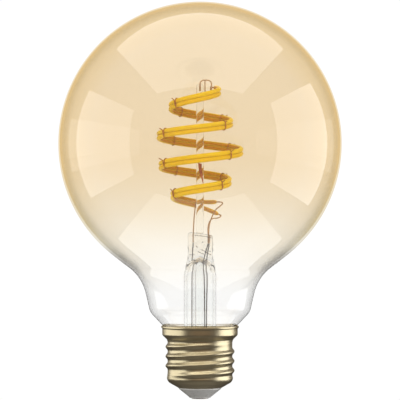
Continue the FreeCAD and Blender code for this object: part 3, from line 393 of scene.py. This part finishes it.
# ------------------------------------------------------------------ mesh tools
def grid_mesh(name, rings, close_ring=True, cap_start=False, cap_end=False, uv=None):
    """Quads between rings of equal length. rings: array (n, k, 3) in millimetres."""
    rings = np.asarray(rings, float) * MM
    n, k, _ = rings.shape
    verts = rings.reshape(-1, 3)
    i, j = np.meshgrid(np.arange(n - 1), np.arange(k if close_ring else k - 1), indexing="ij")
    i, j = i.ravel(), j.ravel()
    j2 = (j + 1) % k
    quads = np.stack([i * k + j, i * k + j2, (i + 1) * k + j2, (i + 1) * k + j], 1).tolist()
    extra = []
    if cap_start:
        extra.append(list(range(k))[::-1])
    if cap_end:
        extra.append([(n - 1) * k + a for a in range(k)])
    me = bpy.data.meshes.new(name)
    me.from_pydata(verts.tolist(), [], quads + extra)
    if uv is not None:
        layer = me.uv_layers.new(name="UVMap")
        us, vs = uv
        data = np.zeros((len(me.loops), 2), np.float32)
        pos = 0
        per = np.stack([
            np.stack([us[i], j / k], 1), np.stack([us[i], (j + 1) / k], 1),
            np.stack([us[i + 1], (j + 1) / k], 1), np.stack([us[i + 1], j / k], 1)], 1).reshape(-1, 2)
        data[: len(per)] = per
        layer.data.foreach_set("uv", data.ravel())
    return me


def finish_mesh(me, name, mat, *nodes, flip=None):
    import bmesh
    bm = bmesh.new()
    bm.from_mesh(me)
    bmesh.ops.remove_doubles(bm, verts=bm.verts, dist=1e-8)
    bmesh.ops.recalc_face_normals(bm, faces=bm.faces)
    if bm.calc_volume(signed=True) < 0:
        bmesh.ops.reverse_faces(bm, faces=bm.faces)
    bm.to_mesh(me)
    bm.free()
    for poly in me.polygons:
        poly.use_smooth = True
    me.materials.append(mat)
    ob = bpy.data.objects.new(name, me)
    scene.collection.objects.link(ob)
    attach(ob, "root")
    if nodes:
        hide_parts(*nodes)
    return ob


def turned(profile, segs):
    """Rings of a closed turned profile [(r, z)]."""
    a = np.linspace(0, 2 * math.pi, segs, endpoint=False)
    pr = np.asarray(profile, float)
    return np.stack([np.outer(pr[:, 0], np.cos(a)), np.outer(pr[:, 0], np.sin(a)), np.repeat(pr[:, 1:2], segs, 1)], 2)


def arc(a, b, r, n):
    """Points from a to b on a circle of radius |r|; positive bulges left of the way. Leaves b out."""
    a, b = np.array(a, float), np.array(b, float)
    way = b - a
    half = np.hypot(*way) / 2
    left = np.array([-way[1], way[0]]) / (2 * half)
    h = math.sqrt(max(r * r - half * half, 0))
    c = (a + b) / 2 - left * h * (1 if r > 0 else -1)
    t0, t1 = math.atan2(*(a - c)[::-1]), math.atan2(*(b - c)[::-1])
    d = (t1 - t0 + math.pi) % (2 * math.pi) - math.pi
    return [(c[0] + abs(r) * math.cos(t0 + d * i / n), c[1] + abs(r) * math.sin(t0 + d * i / n)) for i in range(n)]


def straight(a, b, n):
    return [(a[0] + (b[0] - a[0]) * i / n, a[1] + (b[1] - a[1]) * i / n) for i in range(n)]


# ----------------------------------------------------------------- glass globe
R, ZC, W = 53.78, 96.9, 0.9
za = 54.9
ra = math.sqrt(R * R - (za - ZC) ** 2)
k = (R - W) / R
EPS = 1e-4
outer = arc((EPS, ZC + R), (ra, za), R, 90)
outer += arc((ra, za), (27.05, 49.85), 208.458, 8)
outer += arc((27.05, 49.85), (20.8, 40.6), -16.677, 18)
outer += arc((20.8, 40.6), (19.4, 34.6), -130.008, 8)
outer += arc((19.4, 34.6), (17.85, 31.65), 6.066, 10)
outer += arc((17.85, 31.65), (14.35, 27.95), -579.249, 8)
outer += straight((14.35, 27.95), (12.2, 24.8), 5) + straight((12.2, 24.8), (11.3, 23.6), 3) + straight((11.3, 23.6), (11.3, 20.2), 4)
inner = straight((11.3, 20.2), (10.4, 20.2), 2) + straight((10.4, 20.2), (10.4, 23.8), 4) + straight((10.4, 23.8), (11.25, 25.35), 3)
inner += straight((11.25, 25.35), (13.693, 28.566), 5)
inner += arc((13.693, 28.566), (17.199, 32.271), 580.149, 8)
inner += arc((17.199, 32.271), (18.519, 34.784), -5.166, 10)
inner += arc((18.519, 34.784), (19.929, 40.825), 130.908, 8)
inner += arc((19.929, 40.825), (26.516, 50.574), 17.577, 18)
inner += arc((26.516, 50.574), (ra * k, ZC + (za - ZC) * k), -207.558, 8)
# the blown wall thins gently from the neck to the crown
low_a = math.atan2(za - ZC, ra)
for i in range(91):
    phi = low_a + (math.pi / 2 - low_a) * i / 90
    u = min(i / 40, 1.0)
    wall = W - 0.4 * u * u * (3 - 2 * u)
    inner.append((max((R - wall) * math.cos(phi), EPS), ZC + (R - wall) * math.sin(phi)))
finish_mesh(grid_mesh("globe", turned(outer + inner, 264), cap_start=True, cap_end=True), "globe_blown", M["amber_glass"], "glass_globe")

# ----------------------------------------------------------- stem with its press
SEG = 96
ang = np.linspace(0, 2 * math.pi, SEG, endpoint=False)


def press_ring(z, mix, tilt=0.0, shrink=1.0, wob=0.0):
    """Cross-section at height z: a circle when mix is 0, a rounded slab when mix is 1."""
    rc = 6.18
    c, s = np.cos(ang), np.sin(ang)
    p = 5.0
    hx, hy = 4.7, 2.45
    q = (np.abs(c / hx) ** p + np.abs(s / hy) ** p) ** (-1 / p)
    r = rc * (1 - mix) + q * mix
    r = r * shrink * (1 + wob * (0.5 * np.sin(5 * ang + z) + 0.5 * np.sin(3 * ang - 2.1 * z)))
    x = r * c + 0.15 * mix
    return np.stack([x, r * s, z + tilt * x], 1)


rings = []
for r, z in arc((10.3, 20.4), (6.18, 26.2), 5.4, 14) + straight((6.18, 26.2), (6.18, 47.8), 12):
    rings.append(np.stack([r * np.cos(ang), r * np.sin(ang), np.full(SEG, z)], 1))
for i in range(19):
    u = i / 18
    rings.append(press_ring(47.8 + 7.0 * u, 0.55 * u + 0.45 * u * u * (3 - 2 * u), wob=0.03 * math.sin(math.pi * u)))
for i in range(1, 10):
    u = i / 9
    rings.append(press_ring(54.8 + 6.7 * u, 1.0, tilt=-0.125 * u, wob=0.075 * (1 - 0.75 * u)))
for i in range(1, 9):
    u = i / 8 * math.pi / 2
    rings.append(press_ring(61.5 + 0.95 * math.sin(u), 1.0, tilt=-0.125, shrink=0.80 + 0.20 * math.cos(u) if i < 8 else 0.80))
for sh in (0.6, 0.4, 0.2, 0.001):
    rings.append(press_ring(62.45 + 0.12 * (1 - sh), 1.0, tilt=-0.125, shrink=sh))
back = []
for r, z in arc((9.25, 20.15), (5.18, 26.4), 6.3, 14) + straight((5.18, 26.4), (5.18, 47.6), 12) + arc((5.18, 47.6), (2.75, 52.5), -6.0, 14) + straight((2.75, 52.5), (0.004, 53.6), 4) + [(0.004, 53.6)]:
    back.append(np.stack([r * np.cos(ang), r * np.sin(ang), np.full(SEG, z)], 1))
finish_mesh(grid_mesh("stem", np.array(back[::-1] + rings), cap_start=True, cap_end=True), "stem_drawn", PRESSED, "glass_stem")

# --------------------------------------------------------------- exhaust, post
prof = [(EPS, 15.2)] + arc((0.7, 15.35), (2.5, 18.6), -2.4, 8) + straight((2.5, 18.6), (2.5, 52.8), 16) + straight((2.5, 52.8), (1.6, 52.8), 2) + straight((1.6, 52.8), (1.6, 18.8), 14) + arc((1.6, 18.8), (EPS, 16.4), 2.4, 8) + [(EPS, 16.4)]
finish_mesh(grid_mesh("exhaust", turned(prof, 64), cap_start=True, cap_end=True), "exhaust_drawn", M["clear_glass"], "exhaust_tube")
prof = [(EPS, 62.62), (1.15, 62.62)] + arc((1.15, 62.62), (1.43, 63.1), -0.5, 5) + straight((1.43, 63.1), (1.43, 118.6), 40) + arc((1.43, 118.6), (0.75, 119.5), -1.15, 10) + [(0.75, 119.5), (0.4, 119.6), (EPS, 119.62)]
finish_mesh(grid_mesh("post", turned(prof, 64), cap_start=True, cap_end=True), "post_drawn", POST, "centre_post")

# -------------------------------------------------------------------- cap shell
ROOT, DEPTH, PITCH, PHASE = 12.3, 0.83, 3.629, 17.9
TAB = [(0.0, 0.83), (0.32, 0.68), (0.66, 0.36), (0.98, 0.10), (1.2, 0.0), (1.9, 0.0)]
tv, tr = np.array([t[0] for t in TAB]), np.array([t[1] for t in TAB])
dense_v = np.linspace(0, 1.9, 200)
dense_r = np.interp(dense_v, tv, tr)
kern = np.hanning(25)
kern /= kern.sum()
dense_r = np.convolve(np.concatenate([dense_r[24:0:-1], dense_r, np.zeros(24)]), kern, "same")[24:224]
dense_r *= 0.83 / dense_r[0]
rolled = 0.83 * (0.5 + 0.5 * np.cos(math.pi * np.minimum(dense_v / 1.72, 1.0))) ** 1.1
dense_r = 0.25 * dense_r + 0.75 * rolled


def thread(a, z):
    """How far the rolled thread stands out at angle a and height z."""
    u = (z - PHASE) / PITCH - a / (2 * math.pi)
    v = np.abs(u - np.round(u)) * PITCH
    turn = np.round(u) + a / (2 * math.pi)
    zc = PHASE + PITCH * turn
    fade = np.clip(np.minimum((zc - 8.5) / 1.55, (21.6 - zc) / 1.55), 0, 1)
    fade = fade * fade * (3 - 2 * fade)
    return np.interp(v, dense_v, dense_r) * fade


low = straight((8.4, 4.2), (11.02, 5.7), 8) + arc((11.02, 5.7), (12.55, 7.8), -2.6, 10) + straight((12.55, 7.8), (12.3, 8.9), 5)
mid = straight((12.3, 8.9), (12.3, 21.5), 200)
top = straight((12.3, 21.5), (12.62, 22.5), 5) + straight((12.62, 22.5), (14.0, 23.85), 6) + arc((14.0, 23.85), (14.35, 24.6), -0.9, 5) + straight((14.35, 24.6), (14.35, 26.5), 5)
top += arc((14.35, 26.5), (14.75, 26.95), 0.45, 5) + straight((14.75, 26.95), (14.75, 27.3), 3) + arc((14.75, 27.3), (14.35, 27.68), -0.4, 5)
# bead rolls over the rim to its inner edge
inn = [(14.46, 27.68), (14.45, 27.3), (14.45, 27.0), (14.05, 26.6)] + straight((14.05, 26.6), (14.05, 24.35), 4) + straight((14.05, 24.35), (12.22, 22.62), 5) + [(12.0, 21.7)]
inn += straight((12.0, 21.4), (12.0, 9.0), 40) + [(12.1, 8.4), (12.25, 7.9)] + arc((12.25, 7.9), (10.85, 5.98), 2.4, 8) + straight((10.85, 5.98), (8.3, 4.5), 5) + [(8.3, 4.5), (8.3, 4.22)]
SA = 300
aa = np.linspace(0, 2 * math.pi, SA, endpoint=False)
rings = []
for kind, pts in (("o", low + mid + top), ("i", inn)):
    for r, z in pts:
        rr = np.full(SA, r)
        if kind == "o" and 7.4 < z < 22.6:
            rr = rr + thread(aa, z)
        if kind == "i" and 8.6 < z < 21.6 and r < 12.3:
            rr = rr + np.maximum(thread(aa, z) - 0.12, 0) * 0.9
        rings.append(np.stack([rr * np.cos(aa), rr * np.sin(aa), np.full(SA, z)], 1))
rings.append(rings[0])
finish_mesh(grid_mesh("shell", np.array(rings)), "cap_rolled", M["cap_metal"], "cap_shell")

# ----------------------------------------------------------------- filaments
COIL_R = [(-0.42, 6.7), (0, 7.15), (1, 11.1), (2, 11.75), (3, 15.6), (4, 15.6), (5, 14.9), (6, 11.2), (7, 10.4), (7.9, 9.2)]
COIL_Z = [(-0.42, 118.0), (0, 116.85), (1, 110.8), (2, 104.85), (3, 99.6), (4, 93.75), (5, 88.05), (6, 82.2), (7, 76.75), (7.45, 73.85), (7.9, 72.0)]
FR, GAP = 0.845, 1.70


def smooth(knots, x):
    xs, ys = [q[0] for q in knots], [q[1] for q in knots]
    n = len(xs)
    d = [(ys[i + 1] - ys[i]) / (xs[i + 1] - xs[i]) for i in range(n - 1)]
    m = [d[0]] + [0.0] * (n - 2) + [d[-1]]
    for i in range(1, n - 1):
        m[i] = 0.0 if d[i - 1] * d[i] <= 0 else 2 * d[i - 1] * d[i] / (d[i - 1] + d[i])
    x = min(max(x, xs[0]), xs[-1])
    i = max(q for q in range(n - 1) if xs[q] <= x)
    h = xs[i + 1] - xs[i]
    u = (x - xs[i]) / h
    return ys[i] * (1 + 2 * u) * (1 - u) ** 2 + m[i] * h * u * (1 - u) ** 2 + ys[i + 1] * u * u * (3 - 2 * u) + m[i + 1] * h * u * u * (u - 1)


def coil(t, lift):
    r, z = smooth(COIL_R, t), smooth(COIL_Z, t) + lift
    a = -math.pi * t
    return np.array((r * math.cos(a), r * math.sin(a), z))


def strand(t, upper):
    x, y, z = coil(t, GAP / 2 if upper else -GAP / 2)
    if t > 7.3:
        q = min((t - 7.3) / 0.45, 1.0)
        q = q * q * (3 - 2 * q)
        z = z * (1 - q) + 74.35 * q if upper else z - 1.9 * q * (t - 7.3) / 0.45
    return np.array((x, y, z))


def tube(path, radius, segs, ends=True, up_hint=None):
    """Rings round a path. The seam side follows the outward direction from the lamp's axis."""
    path = np.asarray(path, float)
    n = len(path)
    way = np.gradient(path, axis=0)
    way /= np.linalg.norm(way, axis=1)[:, None]
    rad = radius if hasattr(radius, "__len__") else np.full(n, radius)
    if up_hint is None:
        side = np.array([p * (1, 1, 0) for p in path]) + 1e-9
    else:
        side = np.tile(np.array(up_hint, float), (n, 1))
    side -= way * (side * way).sum(1)[:, None]
    side /= np.linalg.norm(side, axis=1)[:, None]
    other = np.cross(way, side)
    a = np.linspace(-math.pi, math.pi, segs, endpoint=False)
    rings = [path[i] + rad[i] * (np.outer(np.cos(a), side[i]) + np.outer(np.sin(a), other[i])) for i in range(n)]
    length = np.concatenate([[0], np.cumsum(np.linalg.norm(np.diff(path, axis=0), axis=1))])
    return np.array(rings), length


for upper, node, name, end in ((False, "filament_warm", "strand_warm", 7.77), (True, "filament_cool", "strand_cool", 7.74)):
    ts = np.linspace(-0.22, end, 560)
    path = np.array([strand(t, upper) for t in ts])
    rad = np.full(len(ts), FR)
    for i, f in enumerate((0.30, 0.62, 0.84, 0.95)):
        rad[i] *= f
        rad[-1 - i] *= f
    rings, length = tube(path, rad, 24)
    me = grid_mesh(node, rings, cap_start=True, cap_end=True, uv=(length, None))
    finish_mesh(me, name, M["filament_coat_cool" if upper else "filament_coat_warm"], node)

# --------------------------------------------------------------------- ties
TIES = [0.80, 1.27, 1.76, 2.25, 2.82, 3.27, 3.76, 4.25, 4.82, 5.27, 5.76, 6.25, 6.84]
import bmesh
allties = bmesh.new()
rng = random.Random(11)
for kk, t in enumerate(TIES):
    a, b = coil(t - 0.01, 0), coil(t + 0.01, 0)
    mid_, along = coil(t, 0), (b - a) / np.linalg.norm(b - a)
    out = mid_ * (1, 1, 0)
    out = out - along * out.dot(along)
    out /= np.linalg.norm(out)
    up = np.cross(along, out)
    if up[2] < 0:
        up = -up
    hg, rr = GAP / 2 * 0.985, FR + 0.17
    pts = []
    turn = np.linspace(-25, 385, 70)
    for i, deg in enumerate(turn):
        g = math.radians(deg)
        u, v = rr * math.cos(g), rr * math.sin(g)
        v += hg * max(-1, min(1, 1.6 * math.sin(g)))
        sl = (i / (len(turn) - 1) - 0.5) * 0.42
        lift = 0.22 * max(0, (i - 58) / 9) if i > 58 else 0.0
        pts.append(mid_ + out * (u + lift) + up * v + along * sl)
    last, prev = pts[-1], pts[-2]
    d = (last - prev) / np.linalg.norm(last - prev)
    ln = 1.1 + 0.8 * rng.random()
    bend = out * 0.9 + along * rng.uniform(-0.5, 0.5)
    for s in (0.25, 0.5, 0.75, 1.0):
        pts.append(last + d * ln * s * 0.55 + bend * ln * s * (0.45 + 0.4 * s))
    rings, _ = tube(pts, 0.18, 8, up_hint=along + 0.2 * up)
    me = grid_mesh("tie", rings, cap_start=True, cap_end=True)
    allties.from_mesh(me)
    bpy.data.meshes.remove(me)
me = bpy.data.meshes.new("ties")
allties.to_mesh(me)
allties.free()
finish_mesh(me, "ties_twisted", TIE, "filament_ties")

# ------------------------------------------ darker folds where the glass was pressed
FOLDS = [
    ([(-2.3, -2.15, 61.95), (-0.6, -2.2, 61.75), (1.6, -2.2, 61.5), (3.6, -2.1, 61.1), (4.45, -1.6, 60.7)], 0.13),
    ([(4.62, -1.2, 60.4), (4.66, -1.3, 58.6), (4.66, -1.3, 56.8), (4.5, -1.25, 55.3)], 0.11),
    ([(-4.3, -1.2, 60.6), (-4.34, -1.3, 58.4), (-4.3, -1.3, 56.4)], 0.06),
    ([(0.4, -2.2, 56.6), (1.7, -2.15, 56.1), (2.9, -2.1, 55.2), (4.2, -1.8, 54.75)], 0.17),
    ([(1.9, -2.1, 56.9), (3.0, -2.0, 56.2), (4.3, -1.8, 55.6)], 0.10),
    ([(-0.9, -2.2, 55.9), (0.5, -2.2, 55.3), (1.8, -2.2, 54.9)], 0.12),
    ([(-4.0, -1.7, 54.6), (-2.9, -2.1, 55.0), (-1.9, -2.2, 54.7)], 0.09),
    ([(0.7, -2.1, 59.1), (1.0, -2.1, 59.35), (1.25, -2.1, 59.45)], 0.19),
    ([(-1.6, -2.1, 57.95), (-1.25, -2.1, 57.7), (-0.95, -2.1, 57.3)], 0.17),
]
m, nt, p, out = fresh("fold_dark_tint")
# the folds let light through in a brownish grey, darker than the press around them
link(nt, ramp(nt, noise(nt, position(nt), 900.0, 3.0), [(0.3, (0.26, 0.21, 0.14)), (0.7, (0.50, 0.44, 0.34))]), p.inputs["Base Color"])
p.inputs["Transmission Weight"].default_value = 1.0
p.inputs["IOR"].default_value = 1.35
p.inputs["Roughness"].default_value = 0.05
shadow_clear(nt, p, out, (0.95, 0.95, 0.95))
allfolds = bmesh.new()
for pts, fr in FOLDS:
    q = np.array(pts, float)
    tt = np.linspace(0, len(q) - 1, 26)
    path = np.stack([np.interp(tt, np.arange(len(q)), q[:, i]) for i in range(3)], 1)
    for _ in range(4):
        path[1:-1] = (path[:-2] + 2 * path[1:-1] + path[2:]) / 4
    rad = fr * np.sqrt(np.clip(1 - (np.linspace(-1, 1, 26)) ** 4, 0.04, 1)) * (1 + 0.25 * np.sin(tt * 5.1))
    fr_rings, _ = tube(path, rad, 10, up_hint=(0, -1, 0))
    me = grid_mesh("fold", fr_rings, cap_start=True, cap_end=True)
    allfolds.from_mesh(me)
    bpy.data.meshes.remove(me)
me = bpy.data.meshes.new("folds")
allfolds.to_mesh(me)
allfolds.free()
fold_piece = finish_mesh(me, "press_folds", m)

# ------------------------------------------------------------ stage and lights
floor = bpy.data.meshes.new("floor")
floor.from_pydata([(-9, -9, -0.80), (9, -9, -0.80), (9, 9, -0.80), (-9, 9, -0.80)], [], [(0, 1, 2, 3)])
fo = bpy.data.objects.new("floor", floor)
scene.collection.objects.link(fo)
fo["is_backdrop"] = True


def seen_or_lit(nt, seen, lit):
    """Bright where the lens or the view through glass looks at it, dim as a source of light."""
    path = nt.nodes.new("ShaderNodeLightPath")
    mx = nt.nodes.new("ShaderNodeMath")
    mx.operation = "MAXIMUM"
    link(nt, path.outputs["Is Camera Ray"], mx.inputs[0])
    link(nt, path.outputs["Is Transmission Ray"], mx.inputs[1])
    mix = nt.nodes.new("ShaderNodeMixShader")
    link(nt, mx.outputs[0], mix.inputs[0])
    link(nt, lit, mix.inputs[1])
    link(nt, seen, mix.inputs[2])
    return mix.outputs[0]


fm = bpy.data.materials.new("pale_floor")
fm.use_nodes = True
nt = fm.node_tree
nt.nodes.clear()
fout = nt.nodes.new("ShaderNodeOutputMaterial")
em, df = nt.nodes.new("ShaderNodeEmission"), nt.nodes.new("ShaderNodeBsdfDiffuse")
em.inputs["Color"].default_value = (1, 1, 1, 1)
em.inputs["Strength"].default_value = 0.97
df.inputs["Color"].default_value = (0.28, 0.27, 0.26, 1)
link(nt, seen_or_lit(nt, em.outputs[0], df.outputs[0]), fout.inputs[0])
floor.materials.append(fm)

world = bpy.data.worlds.new("studio")
world.use_nodes = True
scene.world = world
nt = world.node_tree
nt.nodes.clear()
wout = nt.nodes.new("ShaderNodeOutputWorld")
seen, lit = nt.nodes.new("ShaderNodeBackground"), nt.nodes.new("ShaderNodeBackground")
seen.inputs["Color"].default_value = (1, 1, 1, 1)
seen.inputs["Strength"].default_value = 1.02
lit.inputs["Color"].default_value = (1.0, 0.87, 0.77, 1)
lit.inputs["Strength"].default_value = 0.16
link(nt, seen_or_lit(nt, seen.outputs[0], lit.outputs[0]), wout.inputs[0])

CEN = Vector((0, 0, 0.0969))


def panel(name, at, aim, size, radiance, colour=(1, 1, 1), glossy=True):
    """Softbox with a given radiance, facing aim."""
    d = bpy.data.lights.new(name, "AREA")
    d.shape = "RECTANGLE"
    d.size, d.size_y = size
    d.energy = radiance * size[0] * size[1] * math.pi
    d.color = colour
    o = bpy.data.objects.new(name, d)
    scene.collection.objects.link(o)
    o.location = at
    way = Vector(aim) - Vector(at)
    o.rotation_euler = way.to_track_quat("-Z", "Y").to_euler()
    o.visible_camera = False
    o.visible_transmission = False
    o.visible_glossy = glossy
    return o


h = 0.62
z0 = CEN.z
# ceiling, walls and a low panel, all running along the lens's line of sight
panel("soft_top", (0, -0.16 * h, z0 + h), (0, -0.16 * h, z0), (1.75 * h, 1.80 * h), 1.6)
side = panel("soft_left", (-h, -0.10 * h, z0), (0, -0.10 * h, z0), (1.14 * h, 0.98 * h), 1.6)
panel("soft_right", (h, 0.04 * h, z0), (0, 0.04 * h, z0), (1.14 * h, 1.12 * h), 2.0)
edge_l = panel("strip_left", (-h * 1.02, -0.03 * h, z0), (0, -0.03 * h, z0), (1.78 * h, 0.42 * h), 0.55)
edge_r = panel("strip_right", (h * 1.02, 0.0, z0), (0, 0.0, z0), (2.1 * h, 0.42 * h), 0.35)
fill = panel("fill_front", (0.15, -1.5, 0.35), (0, 0, 0.09), (0.9, 0.7), 4.5, glossy=False)
low = panel("soft_low", (0, -0.09 * h, z0 - h), (0, -0.09 * h, z0), (1.75 * h, 1.75 * h), 1.3)
front = panel("fill_cap", (0.06, -1.1, 0.17), (0, 0, 0.02), (1.3, 0.5), 0.21, (1.0, 0.66, 0.45))
over = panel("over_cap", (0.0, -0.75, 0.85), (0, 0, 0.02), (1.7, 0.75), 0.68, (1.0, 0.92, 0.76))
left_cap = panel("left_cap", (-h, 0.08 * h, 0.12), (0, 0.08 * h, 0.02), (1.80 * h, 0.9 * h), 1.45, (1.0, 0.99, 0.95))
strand_fill = panel("fill_strand", (0.25, -1.4, 0.45), (0, 0, 0.095), (0.8, 0.6), 2.9, (1.0, 0.95, 0.85), glossy=False)
cap_parts = [o for o in scene.objects if o.type == "MESH" and o.name.split(".")[0] in ("cap_rolled", "cap_insulator", "centre_contact", "contact_solder")]
strands = [o for o in scene.objects if o.name.split(".")[0] in ("strand_warm", "strand_cool", "ties_twisted")]
for lamp, parts, state in ((low, cap_parts, "EXCLUDE"), (side, cap_parts, "EXCLUDE"), (edge_l, cap_parts, "EXCLUDE"), (edge_r, cap_parts, "EXCLUDE"), (left_cap, cap_parts, "INCLUDE"), (front, cap_parts, "INCLUDE"), (over, cap_parts, "INCLUDE"), (strand_fill, strands, "INCLUDE")):
    who = bpy.data.collections.new(lamp.name + "_on")
    for o in parts:
        who.objects.link(o)
    lamp.light_linking.receiver_collection = who
    for item in who.collection_objects:
        item.light_linking.link_state = state

# ----------------------------------------------------------------------- camera
cam = bpy.data.cameras.new("lens")
cam.sensor_width = 36.0
dist = 1.03
cam.lens = 36.0 * dist / 0.152
co = bpy.data.objects.new("lens", cam)
scene.collection.objects.link(co)
co.location = (0, -dist, 0.07543)
co.rotation_euler = (math.pi / 2, 0, 0)
scene.camera = co
cam.clip_start = 0.01
scene.view_settings.view_transform = "Standard"
scene.cycles.max_bounces = 28
scene.cycles.transmission_bounces = 28
scene.cycles.transparent_max_bounces = 32

vis_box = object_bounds()


def plain(v):
    if isinstance(v, dict):
        return {str(a): plain(b) for a, b in v.items()}
    try:
        return [plain(x) for x in list(v)]
    except TypeError:
        return float(v)


{"cad": plain(cad_box), "visual": plain(vis_box)}
